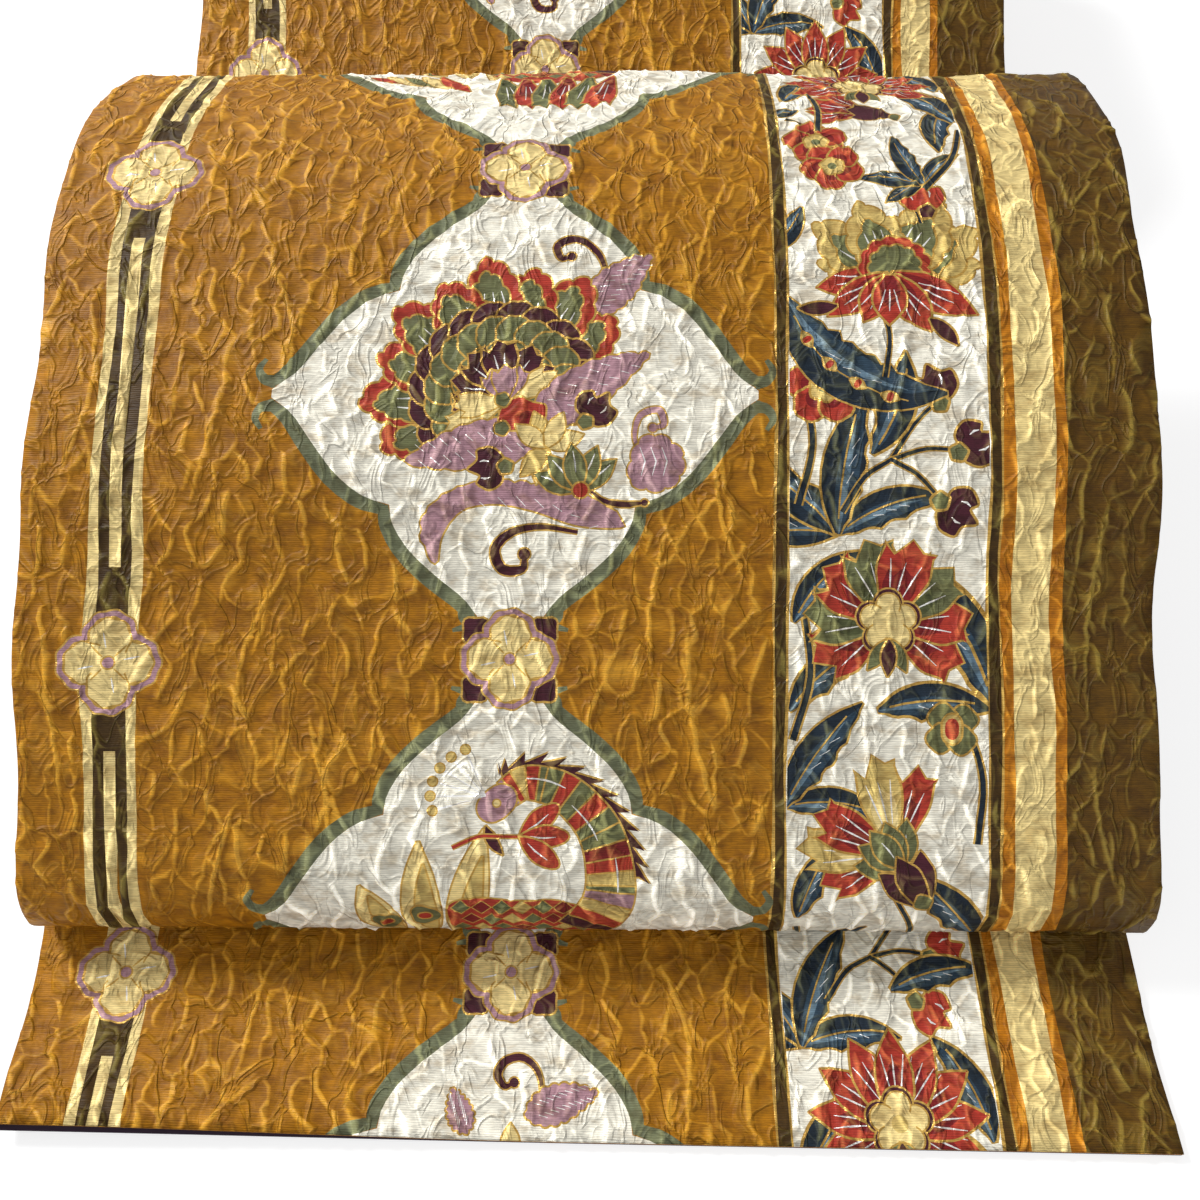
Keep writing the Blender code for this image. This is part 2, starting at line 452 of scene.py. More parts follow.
def petal(length, width, lobes=3, depth=0.1, sharp=False, steps=30, base=0.25):
    """A petal that grows up from its foot, with lobes or points round its far end."""
    t = np.linspace(0, 1, steps, endpoint=False)
    a = 2 * math.pi * t
    x = -width / 2 * np.sin(a) * (base + (1 - base) * np.sin(a / 2) ** 1.2)
    y = length * (1 - np.cos(a)) / 2
    far = np.clip(1 - np.abs(t - 0.5) / 0.34, 0, 1) ** 0.5
    beat = np.cos(2 * math.pi * lobes * (t - 0.5) / 0.62)
    if sharp:
        beat = 1 - 2 * np.abs((lobes * (t - 0.5) / 0.62 + 0.5) % 1 - 0.5) * 2
        beat = -beat
    scale = 1 + depth * far * beat
    return np.stack([x * scale, (y - 0.4 * length) * scale + 0.4 * length], axis=1)


def leaf(length, width, bend=0.0, scallops=0, depth=0.2, steps=14, blunt=0.9):
    """A leaf or feather along a bent midrib that starts up from its foot."""
    rib, side, half = leaf_parts(length, width, bend, steps, blunt)
    outer = half.copy()
    if scallops:
        outer = half * (1 - depth * np.abs(np.cos(math.pi * scallops * np.linspace(0, 1, steps))))
    return np.vstack([rib + side * outer[:, None], (rib - side * half[:, None])[::-1]])


def leaf_parts(length, width, bend, steps, blunt):
    t = np.linspace(0, 1, steps)
    angle = math.pi / 2 - bend * t
    rib = np.cumsum(np.stack([np.cos(angle), np.sin(angle)], axis=1) * length / (steps - 1), axis=0)
    rib -= rib[0]
    half = width / 2 * np.sin(math.pi * np.clip(t, 0.02, 0.985) ** blunt) ** 0.8
    return rib, turned_normals(rib, False), half


def leaf_half(length, width, bend, share, steps=12, blunt=0.9):
    """The part of such a leaf between its midrib and a share of one half's width."""
    rib, side, half = leaf_parts(length, width, bend, steps, blunt)
    return np.vstack([rib, (rib + side * half[:, None] * share)[::-1]])


def pointed(length, width, points=3, foot=0.22):
    """A petal with a toothed end, growing up from a narrow foot."""
    w = width / 2
    side = smooth([(w * foot, 0.0), (w * 0.6, 0.27 * length), (w * 0.98, 0.58 * length),
                   (w * 0.9, 0.84 * length)], 4)
    teeth = []
    if points == 1:
        side = smooth([(w * foot, 0.0), (w * 0.85, 0.3 * length), (w * 0.9, 0.6 * length),
                       (w * 0.4, 0.86 * length), (0.0, length)], 4)
    else:
        for k in range(points):
            x = w * (1 - 2 * k / (points - 1))
            y = length * (0.9 + 0.1 * math.sin(math.pi * k / (points - 1)))
            if k:
                teeth.append((x + w / (points - 1), y - 0.12 * length))
            teeth.append((x, y))
    parts = [side, np.array(teeth), (side * (-1, 1))[::-1]]
    return np.vstack([part for part in parts if len(part)])


def feather(length, width):
    """A broad feather with a round end, growing up from a narrow foot."""
    w = width / 2
    side = smooth([(w * 0.2, 0.0), (w * 0.62, 0.36 * length), (w * 0.98, 0.64 * length),
                   (w * 0.84, 0.82 * length), (w * 0.44, 0.94 * length), (0.0, length)], 4)
    return np.vstack([side, (side * (-1, 1))[::-1]])


def scalloped(points, lobes, depth, start=0.0, end=1.0, steps=90):
    """A closed outline with round lobes standing out from part of it."""
    loop = np.vstack([points, points[:1]])
    along = np.concatenate([[0], np.cumsum(np.hypot(*np.diff(loop, axis=0).T))])
    t = np.linspace(0, 1, steps, endpoint=False)
    line = np.stack([np.interp(t * along[-1], along, loop[:, k]) for k in (0, 1)], axis=1)
    place = np.clip((t - start) / (end - start), 0, 1)
    beat = np.abs(np.sin(math.pi * lobes * place)) ** 0.6
    x, y = line.T
    side = 1 if np.sum(x * np.roll(y, -1) - np.roll(x, -1) * y) > 0 else -1
    return line + turned_normals(line, True) * (beat * depth * side)[:, None]


def rib_line(length, bend, start=0.15, end=0.85, steps=7):
    """Part of the midrib of such a leaf."""
    t = np.linspace(0, 1, 24)
    angle = math.pi / 2 - bend * t
    rib = np.cumsum(np.stack([np.cos(angle), np.sin(angle)], axis=1) * length / 23, axis=0)
    keep = np.linspace(start, end, steps)
    return np.stack([np.interp(keep, t, rib[:, k]) for k in (0, 1)], axis=1)


def band(line, widths):
    """The outline of a brush stroke with a width at each of its points."""
    line = np.array(line, float)
    half = np.broadcast_to(np.array(widths, float) / 2, (len(line),))[:, None]
    side = turned_normals(line, False)
    return np.vstack([line + side * half, (line - side * half)[::-1]])


class Drawing:
    """Shapes on the cloth, each laid over the ones before it."""

    def __init__(self):
        self.shapes = []
        self.hand = [(0.0, 0.0, 1.0, 0.0, 1.0)]

    def at(self, u, v, size=1.0, turn=0.0, flip=False):
        """Draw what follows round this point, until back is called."""
        self.hand.append((u, v, size, math.radians(turn), -1.0 if flip else 1.0))
        return self

    def back(self):
        self.hand.pop()

    def fill(self, points, dye, gilt=False):
        points = np.array(points, float)
        for u, v, size, turn, flip in reversed(self.hand):
            x = points[:, 0] * size * flip
            y = points[:, 1] * size
            points = np.stack([u + x * math.cos(turn) - y * math.sin(turn),
                               v + x * math.sin(turn) + y * math.cos(turn)], axis=1)
        self.shapes.append((points, dye, gilt))

    def figure(self, points, dye, line=0.55):
        """A dyed shape with a drawn gold outline."""
        self.fill(grown(points, line * 0.5), "gold thread", True)
        self.fill(grown(points, -line * 0.5), dye)

    def figure_at(self, place, points, dye, line=0.55):
        """A figure by itself, at a place given as for at()."""
        self.at(*place)
        self.figure(points, dye, line)
        self.back()

    def stroke(self, line, widths, dye, gilt=False):
        self.fill(band(line, widths), dye, gilt)

    def piped(self, line, width, dye):
        """A stem with a gold line down each side."""
        widths = np.linspace(1.0, 0.75, len(line)) * width
        self.fill(band(line, widths + 0.7), "gold thread", True)
        self.fill(band(line, widths), dye)

    def stitches(self, lines, width=0.5):
        """Short bright lines of couched thread."""
        for line in lines:
            taper = width * np.sin(math.pi * np.linspace(0.12, 0.88, len(line)))
            self.fill(band(line, taper), "silver thread", True)


def curl(d, points, width, dye="plum"):
    """A tendril through points, thickest past its middle, with a round end."""
    line = smooth(points, 5)
    t = np.linspace(0, 1, len(line))
    widths = width * (0.35 + 0.65 * np.sin(math.pi * np.clip(t, 0, 1) ** 1.4))
    end = ring(width * 0.62, steps=14) + line[-1]
    d.fill(band(line, widths + 0.9), "gold thread", True)
    d.fill(grown(end, 0.45), "gold thread", True)
    d.fill(band(line, widths), dye)
    d.fill(end, dye)


def joining_flower(d, corners=True):
    """Four cream petals in a scalloped mauve rim, on dark squares."""
    if corners:
        for x in (-9.4, 9.4):
            for y in (-8.2, 7.8):
                d.figure_at((x, y), ring(3.9, 0.12, 4, steps=24, phase=math.pi / 4), "plum", 0.6)
    petals = [(6.0, 0.0), (0.0, 6.2), (-6.0, 0.0), (0.0, -6.2)]
    for reach, dye, gilt in ((7.8, "gold thread", True), (7.3, "mauve", False),
                             (5.9, "gold thread", True)):
        for place in petals:
            d.fill(ring(reach, 0.035, 9, steps=54) + place, dye, gilt)
    for place in petals:
        d.figure(ring(5.5, 0.05, 7, steps=42) + place, "cream", 0.5)
    d.fill(ring(5.0, steps=24), "cream")
    for k in range(4):
        a = math.radians(45 + 90 * k)
        line = [(r * math.cos(a), r * math.sin(a)) for r in (2.2, 4.0, 6.4)]
        d.stroke(line, (0.3, 0.55, 0.35), "gold thread", True)
        a = math.radians(90 * k + 12)
        d.stitches([[(r * math.cos(a), r * math.sin(a)) for r in (4.0, 6.0, 8.0)]])
    d.figure(ring(1.7, steps=14), "mauve", 0.5)


def heart_bud(d, dye, seed="moss"):
    """A three-lobed fruit with a small round calyx at its foot."""
    lobes = smooth([(0, 0), (-3.6, 0.2), (-5.4, 3.4), (-3.4, 6.4), (-1.6, 5.6), (0.2, 8.4),
                    (2.2, 6.0), (4.8, 5.6), (5.0, 2.0), (2.6, -0.4)], 4, True)
    d.figure(lobes, dye)
    d.stitches([[(-2.2, 3.0), (-2.5, 4.2), (-2.2, 5.2)], [(1.6, 3.0), (2.0, 4.2), (1.8, 5.2)]])
    d.figure_at((0, -0.8), ring(2.0, 0.08, 5, steps=20), seed)


def navy_leaf(d, length, width, bend=0.0, scallops=0, spots=0):
    """A long indigo leaf, paler on one side of its couched midrib."""
    d.figure(leaf(length, width, bend, scallops, 0.26, 20), "indigo")
    d.fill(leaf_half(length * 0.95, width, bend * 0.95, 0.62), "indigo mid")
    d.fill(leaf_half(length * 0.9, width, bend * 0.9, -0.3), "indigo mid")
    d.fill(leaf_half(length * 0.8, width, bend * 0.8, 0.26), "indigo pale")
    rib = rib_line(length, bend, 0.06, 0.8)
    d.stroke(rib, 0.4, "gold thread", True)
    side = turned_normals(rib, False)
    veins = []
    for index in (2, 3, 4):
        start = rib[index] + side[index] * width * 0.1
        veins.append([start, start + side[index] * width * 0.12 + (rib[index] - rib[index - 1]) * 0.7])
    d.stitches(veins, 0.4)
    for k in range(spots):
        spot = rib_line(length, bend, 0.2 + 0.17 * k, 0.22 + 0.17 * k, 2)[0]
        d.at(spot[0], spot[1], 1.0, -math.degrees(bend) * (0.2 + 0.17 * k))
        d.figure(pointed(5.4, 3.4, 1) - (0, 2.6), "straw", 0.5)
        d.fill(ring(1.2, 0.2, 2, steps=14), "madder")
        d.back()


def toothed_petal(d, length, width, dye, deep, turn, points=3, lines=3, x=0.0, y=0.0):
    """A petal of a big flower: toothed, darker towards its foot, with couched lines."""
    d.at(x, y, 1.0, turn)
    d.figure(pointed(length, width, points), dye, 0.65)
    d.fill(pointed(length * 0.64, width * 0.6, points, 0.3) + (0, length * 0.03), deep)
    for k in range(lines):
        off = (k - (lines - 1) / 2) * width * 0.22
        d.stitches([[(off * 0.5, length * 0.3), (off * 0.9, length * 0.52), (off * 1.3, length * 0.72)]],
                   0.48)
    d.back()


def flower_heart(d, size=1.0):
    """The cream lobes and dark rim at a big flower's middle, with its small calyx."""
    for reach, radius, dye in ((5.2, 4.1, "plum"), (4.6, 3.4, "cream")):
        for k in range(5):
            a = math.radians(18 + 72 * k)
            d.figure_at((reach * size * math.cos(a), reach * size * math.sin(a), size),
                        ring(radius, steps=22), dye, 0.5)
    d.fill(ring(4.2 * size, steps=20), "cream")


def rosette(d, kinds, length, width, points, spread):
    """A full flower seen half from its side: its petals fan out round a cream heart."""
    last = len(kinds) - 1
    for k in sorted(range(last + 1), key=lambda k: -abs(k - last / 2)):
        dye, deep = kinds[k]
        toothed_petal(d, length, width, dye, deep, spread * (1 - 2 * k / last), points, 3)
    flower_heart(d)
    for turn, dye in ((150, "moss"), (212, "moss"), (182, "plum")):
        d.figure_at((0, -4.5, 1.0, turn), leaf(10.5, 4.6, 0.15), dye)


RED = ("madder", "madder deep")
GREEN = ("moss", "moss deep")
STRAW = ("straw", "cream")


def red_rosette(d):
    rosette(d, [RED] * 9, 24.0, 11.0, 1, 112)
    d.fill(ring(2.2, steps=14), "straw")


def mixed_rosette(d):
    rosette(d, [RED, GREEN, RED, GREEN, RED, GREEN, RED, RED], 23.5, 15.5, 3, 118)


def trumpet(d):
    """A flower seen from the side: red and gold petals from a green cup and dark calyx."""
    for turn, (dye, deep), length in ((82, RED, 22), (56, STRAW, 27), (-44, RED, 25),
                                      (34, RED, 25), (-16, STRAW, 28)):
        toothed_petal(d, length, 12.0, dye, deep, turn, 3, 3)
    for turn in (58, -34, 34, -8, 12):
        d.at(0, -4, 1.0, turn)
        d.figure(pointed(13.5, 7.6, 1), "moss")
        d.stitches([[(0, 3.5), (0.3, 6), (0.2, 9)]])
        d.back()
    for turn in (26, -26, 0):
        d.figure_at((0, -15.5, 1.0, turn), pointed(15.0, 8.0, 1, 0.5), "plum")
    d.figure_at((0, -15.5), ring(2.6, 0.08, 4, steps=18), "moss")


def lotus(d):
    """A lotus: red lower petals, a scalloped green heart, and gold and green upper petals."""
    for turn, size in ((78, 0.8), (-84, 1.0), (50, 1.05), (-62, 1.15), (-36, 1.15), (16, 1.0)):
        d.at(0, 2, size, turn)
        d.figure(scalloped(pointed(24, 15, 1), 9, 1.1), "straw", 0.6)
        d.figure(scalloped(pointed(18, 10.5, 1), 7, 0.9), "moss")
        for x in (-2.2, 0.0, 2.2):
            d.stitches([[(x * 0.7, 7), (x, 10.5), (x * 1.1, 14)]])
        d.back()
    for turn, length, width in ((98, 20, 9.5), (-98, 16, 8.5)):
        toothed_petal(d, length, width, *RED, turn, 1, 3, 0, 1)
    d.at(1.5, 4)
    d.figure(scalloped(ring(8.8, steps=30), 13, 1.3), "madder")
    d.figure(scalloped(ring(6.4, steps=30), 11, 1.0), "moss")
    d.back()
    for turn, length, width in ((126, 21, 9.5), (-118, 26, 11), (152, 16, 9.5), (-148, 20, 10),
                                (178, 15, 10)):
        toothed_petal(d, length, width, *RED, turn, 1, 3, 0, 2)
    for turn, x, y in ((104, -14, -7), (-128, 10, -11)):
        d.figure_at((x, y, 1.0, turn), leaf(11, 4.2, 0.3), "plum")


def cinquefoil(d):
    """A small round-petalled flower with a cream heart."""
    for k in range(5):
        a = math.radians(90 + 72 * k)
        d.figure_at((4.4 * math.cos(a), 4.4 * math.sin(a)),
                    scalloped(ring(3.7, steps=20), 6, 0.35, steps=40), "madder", 0.55)
        d.fill(ring(2.2, steps=12) + (2.9 * math.cos(a), 2.9 * math.sin(a)), "madder deep")
    d.figure(ring(3.1, 0.08, 5, steps=20), "straw")
    d.fill(ring(1.2, steps=10), "moss")


def moss_bud(d):
    """A green four-lobed flower with a red seed."""
    for k in range(4):
        a = math.radians(40 + 90 * k)
        d.figure_at((3.4 * math.cos(a), 3.4 * math.sin(a)), ring(3.5, 0.06, 4, steps=22), "moss")
    d.figure(ring(3.1, 0.2, 2, steps=20, phase=1.57), "straw")
    d.fill(ring(2.1, 0.22, 2, steps=16, phase=1.57), "madder")


def leaf_spray(d):
    """Four indigo leaves from one foot."""
    for turn, length, width, bend, scallops in ((62, 19, 7.0, -0.5, 0), (-66, 25, 8.5, 0.7, 4),
                                                (24, 27, 9.0, -0.45, 4), (-16, 32, 10.5, 0.35, 5)):
        d.at(0, 0, 1.0, turn)
        navy_leaf(d, length, width, bend, scallops)
        d.back()


def fruit_stem(d, dye):
    """Stems that part, each with a three-lobed fruit."""
    fork = (11, 12)
    d.piped(smooth([(0, 0), (5, 8), fork], 4), 1.1, "indigo")
    for end, turn in (((22, 26), 18), ((27, 14), -62), ((23, 2), -120)):
        middle = ((fork[0] + end[0]) / 2, (fork[1] + end[1]) / 2 + 1.5)
        d.piped(smooth([fork, middle, end], 4), 0.9, "indigo")
        d.at(end[0], end[1], 1.1, turn)
        heart_bud(d, dye)
        d.back()


def purple_fruit(d):
    fruit_stem(d, "plum")


def red_fruit(d):
    fruit_stem(d, "madder")


def feather_leaf(d):
    """A broad indigo leaf like a feather, with red eyes along it."""
    navy_leaf(d, 58, 18, 1.35, 11, 4)


def single_leaf(d):
    navy_leaf(d, 21, 7.4, 0.6, 4)


def berry(d):
    heart_bud(d, "madder", "plum")


def tulip(d):
    """A red and dark flower on its side."""
    for turn in (-30, 30, 0):
        toothed_petal(d, 20, 9, *RED, turn, 2, 2)
    d.at(0, -9)
    d.figure(pointed(15, 10.5, 3), "plum")
    d.figure(ring(2.1, 0.2, 2, steps=14), "moss")
    d.back()


def stem(d):
    d.piped(smooth([(0, 0), (2.5, 11), (1.0, 22)], 5), 1.1, "indigo")


MOTIFS = {
    "red rosette": red_rosette,
    "mixed rosette": mixed_rosette,
    "trumpet": trumpet,
    "lotus": lotus,
    "cinquefoil": cinquefoil,
    "moss bud": moss_bud,
    "leaf spray": leaf_spray,
    "purple fruit": purple_fruit,
    "red fruit": red_fruit,
    "feather leaf": feather_leaf,
    "leaf": single_leaf,
    "tulip": tulip,
    "stem": stem,
    "berry": berry,
}

BAND_REPEAT = 382.0
BAND_LEFT = 209.6
BAND_RIGHT = 263.8
# One repeat of the flowered band. columns: motif, u, v, size, turn, flipped
FLOWERED_BAND = (
    ("stem", 221, -28, 1.4, 8, False),
    ("leaf", 212, -10, 1.5, -20, False),
    ("leaf", 263, -22, 1.7, 14, True),
    ("leaf", 262, 2, 1.4, 8, True),
    ("leaf spray", 214, 25, 1.12, 2, False),
    ("red rosette", 238, 6, 1.0, 0, False),
    ("red fruit", 222, 37, 1.1, -6, False),
    ("leaf", 240, 40, 1.3, -60, False),
    ("leaf", 212, 64, 1.5, -24, False),
    ("stem", 213, 82, 1.4, 2, False),
    ("leaf", 262, 80, 1.7, 18, True),
    ("leaf spray", 213, 88, 1.0, -12, False),
    ("cinquefoil", 244, 92, 1.3, 8, False),
    ("stem", 246, 100, 1.2, 18, False),
    ("leaf", 213, 118, 1.2, -8, False),
    ("leaf", 264, 106, 1.6, 22, True),
    ("leaf spray", 209, 150, 1.1, -10, False),
    ("trumpet", 239, 137, 1.0, 30, False),
    ("stem", 261, 140, 1.5, 8, False),
    ("leaf", 210, 176, 1.4, -34, False),
    ("stem", 211, 168, 1.6, -2, False),
    ("leaf", 234, 176, 1.5, -72, False),
    ("moss bud", 254, 171, 1.15, 0, False),
    ("leaf", 265, 178, 2.2, 14, True),
    ("leaf", 211, 200, 1.3, -26, False),
    ("mixed rosette", 237, 200, 1.0, 0, False),
    ("leaf spray", 223, 224, 1.25, 16, False),
    ("purple fruit", 224, 230, 1.2, 0, False),
    ("leaf", 232, 246, 1.5, -36, True),
    ("stem", 212, 232, 1.5, 0, False),
    ("cinquefoil", 219, 265, 1.3, 0, False),
    ("feather leaf", 209, 292, 0.98, 196, True),
    ("stem", 236, 268, 1.1, 6, False),
    ("lotus", 238, 297, 1.05, 0, False),
    ("stem", 248, 316, 0.7, 30, False),
    ("berry", 250, 321, 1.3, 10, False),
    ("leaf", 214, 322, 1.1, 160, False),
    ("leaf spray", 250, 330, 0.72, 44, False),
    ("stem", 250, 328, 1.4, -24, False),
    ("stem", 228, 346, 1.0, 50, False),
    ("cinquefoil", 220, 349, 1.2, 10, False),
    ("cinquefoil", 224, 338, 1.15, 30, False),
    ("tulip", 237, 366, 1.0, 72, False),
    ("leaf", 216, 366, 1.1, 110, False),
    ("leaf", 262, 370, 1.3, 150, True),
)

FLOWER_START = 44.0
FLOWER_STEP = 146.0
MEDALLION_MIDDLE = 134.0
STRIPE_MIDDLE = 25.8
# Lengthwise stripes. columns: u, u at the far side, dye, gilt
STRIPES = (
    (18.4, 21.3, "cream", False),
    (21.3, 30.4, "walnut", False),
    (30.4, 33.3, "cream", False),
    (205.4, 206.1, "gold thread", True),
    (206.1, 208.9, "walnut", False),
    (208.9, 209.6, "gold thread", True),
    (209.6, 263.8, "white", False),
    (263.8, 264.5, "gold thread", True),
    (264.5, 267.3, "walnut", False),
    (267.3, 267.9, "gold thread", True),
    (267.9, 271.0, "amber", False),
    (271.0, 281.6, "cream", False),
    (281.6, 284.9, "amber", False),
    (284.9, 310.0, "olive", False),
)
# A quarter of a medallion's outline. columns: across, up
MEDALLION_OUTER = ((9.0, 61.5), (13.0, 56.5), (20.5, 50.5), (28.0, 43.5), (32.5, 36.5), (33.5, 31.0))
MEDALLION_INNER = ((33.5, 31.0), (41.0, 28.5), (48.5, 22.5), (55.5, 13.5), (61.0, 6.0), (67.0, 1.2))


def medallion_frame(d):
    """The white ground with its grey-green rim of four ogee curves and curled tips."""
    upper = np.vstack([smooth(MEDALLION_OUTER, 5), smooth(MEDALLION_INNER, 5)[1:]])
    for sx in (1, -1):
        for sy in (1, -1):
            for part in (smooth(MEDALLION_OUTER, 5), smooth(MEDALLION_INNER, 5)):
                outward = turned_normals(part, False) * -1.0
                middle = part + outward * 1.7
                t = np.linspace(0, 1, len(middle))
                widths = 2.4 + 2.2 * np.sin(math.pi * np.clip(t, 0.02, 0.98)) ** 0.7
                d.fill(band(middle, widths) * (sx, sy), "sage")
            tip = smooth([(66.0, 3.4), (69.4, 4.2), (71.0, 7.2), (69.2, 10.2)], 4)
            d.fill(band(tip, np.linspace(3.8, 1.2, len(tip))) * (sx, sy), "sage")
            neck = smooth([(10.5, 58.5), (12.8, 60.8), (12.0, 64.0), (15.8, 65.2)], 4)
            d.fill(band(neck, np.linspace(4.6, 1.0, len(neck))) * (sx, sy), "sage")
    quarter = np.vstack([[(8.0, 73.0)], upper])
    right = np.vstack([quarter, (quarter * (1, -1))[::-1]])
    d.fill(np.vstack([right, (right * (-1, 1))[::-1]]), "white")


def fan_flower(d):
    """The feathered fan flower with mauve wings and dark curls."""
    curl(d, [(23, 27), (24.5, 34), (22, 42), (16, 46.5), (10.5, 44.5), (11.5, 40.5), (14.5, 41)], 2.0)
    curl(d, [(18, -38.5), (8, -37), (0, -38.5), (-4.5, -43), (-2.5, -48.5), (3, -48.5), (3.5, -44.5)],
         2.6)
    mauve_wing(d, 20, 24, 24, 11, -38, 0.2)
    arch = smooth([(31, -37), (22, -30), (8, -26), (-6, -25), (-17, -28), (-24, -35), (-23, -45),
                   (-20, -47), (-19, -40), (-14, -33), (-5, -31), (6, -33), (18, -37)], 5, True)
    d.figure(scalloped(arch, 15, 1.1, 0.02, 0.5), "mauve")
    for x in (-14, -9, -4, 1, 6, 11, 16, 21):
        d.stitches([[(x, -28.6 - 0.02 * x * x), (x + 2.6, -31.4 - 0.012 * x * x)]], 0.45)
    curl(d, [(35, -19), (33, -12), (34.5, -6), (39.5, -4.5), (41, -8.5), (38, -9.5)], 1.9, "mauve")
    d.at(38, -19)
    d.figure(scalloped(smooth([(-4, 5), (2, 7), (8, 2), (7, -5), (1, -8), (-6, -5)], 4, True), 9, 0.9),
             "mauve")
    for x in (-3, 0, 3):
        d.stitches([[(x, -4), (x + 1, 0), (x - 0.5, 4)]], 0.45)
    d.back()
    d.at(-3, 1)
    for k in (0, 8, 1, 7, 2, 6, 3, 5, 4):
        turn = 116 - 21.5 * k
        length = 39.5 if k % 2 else 36.5
        d.at(0, 0, 1.0, turn)
        body = scalloped(feather(length, 14.5), 11, 1.3, 0.14, 0.86)
        d.figure(body, "madder", 0.65)
        d.figure(body * (0.74, 0.9) - (0.9, 0.0), "moss")
        for x in (-2.6, 0.0, 2.6):
            d.stitches([[(x, length * 0.58), (x * 1.1, length * 0.67), (x * 0.9, length * 0.75)]], 0.5)
        d.back()
    for reach, radius, dye in ((20.6, 6.0, "plum"), (17.0, 5.2, "moss")):
        for k in range(13):
            a = math.radians(212 - 18.5 * k)
            d.figure_at((reach * math.cos(a), reach * math.sin(a)),
                        scalloped(ring(radius, steps=24), 8, 0.4, steps=44), dye, 0.6)
    d.figure(scalloped(ring(14.0, steps=40), 16, 1.0), "moss")
    for turn in (112, -62, 78, -28, 44, 10):
        toothed_petal(d, 15.5, 10.5, "plum", "plum", turn, 3, 2)
    for turn, dye, length in ((-58, "cream", 17), (118, "cream", 18), (96, "cream", 14),
                              (24, "mauve", 10.5), (-20, "mauve", 11.5), (2, "mauve", 11)):
        d.figure_at((0, -3, 1.0, turn), pointed(length, 7.4, 3), dye)
    d.back()
    mauve_wing(d, 4, -10, 39, 13, -47, 0.3)
    mauve_wing(d, 8, -12, 38, 13, 95, -0.2)
    d.at(0, -6)
    d.figure(smooth([(-4, -3), (-3.5, 3), (1, 5.5), (5, 4), (8.5, 3), (8, -2), (4, -5)], 5, True),
             "madder")
    d.fill(ring(2.4, steps=14) + (3.6, -1.0), "madder deep")
    for x, y in ((-3.5, -3.6), (-3.5, 4.6)):
        d.figure_at((x, y), ring(2.2, 0.06, 5, steps=18), "moss")
    d.back()
    for turn in (166, 140, -70, 20, 54, -24):
        d.figure_at((9, -15, 1.0, turn), pointed(11, 6.0, 1), "straw" if turn in (140, 20) else "cream")
    for x, y, turn in ((20, -7, -36), (-3, -20.5, 96)):
        d.at(x, y, 1.15, turn)
        heart_bud(d, "plum")
        d.back()
    curl(d, [(20, -26), (25, -30), (31, -31), (36, -30.5)], 1.5)
    for turn in (70, -50, 42, -22, 10):
        d.at(18, -27, 1.0, turn)
        d.figure(pointed(13.5, 6.8, 1), "moss")
        d.stitches([[(0, 5), (0.2, 8), (0.1, 11)]], 0.5)
        d.back()
    d.figure_at((18.5, -27), ring(2.3, steps=18), "madder")


def mauve_wing(d, x, y, length, width, turn, bend):
    """A mauve feather with a scalloped edge and slanting couched lines."""
    d.at(x, y, 1.0, turn)
    d.figure(scalloped(leaf(length, width, bend, 0, 0, 22, 0.75), 16, 0.9), "mauve")
    rib = rib_line(length, bend, 0.1, 0.82, 9)
    side = turned_normals(rib, False)
    lines = []
    for point, away in zip(rib, side):
        for hand in (0.1, -0.26):
            start = point + away * width * hand
            lines.append([start, start + away * width * 0.15 + (0.2, 1.9)])
    d.stitches([np.array(line) for line in lines], 0.5)
    d.back()


def end_flower(d):
    """The top of a third flower, whose rest would lie past the cloth's end."""
    curl(d, [(9, 36), (9.5, 42), (8, 47), (4, 50), (-0.5, 49), (-2.5, 45.5), (-0.5, 42.5), (2, 43.5)],
         2.0)
    mauve_wing(d, 6, 35, 19, 9, -62, 0.3)
    mauve_wing(d, -10, 31, 11, 6, 28, 0.2)
    d.figure_at((1.5, 24), pointed(9.5, 5.5, 1), "cream")


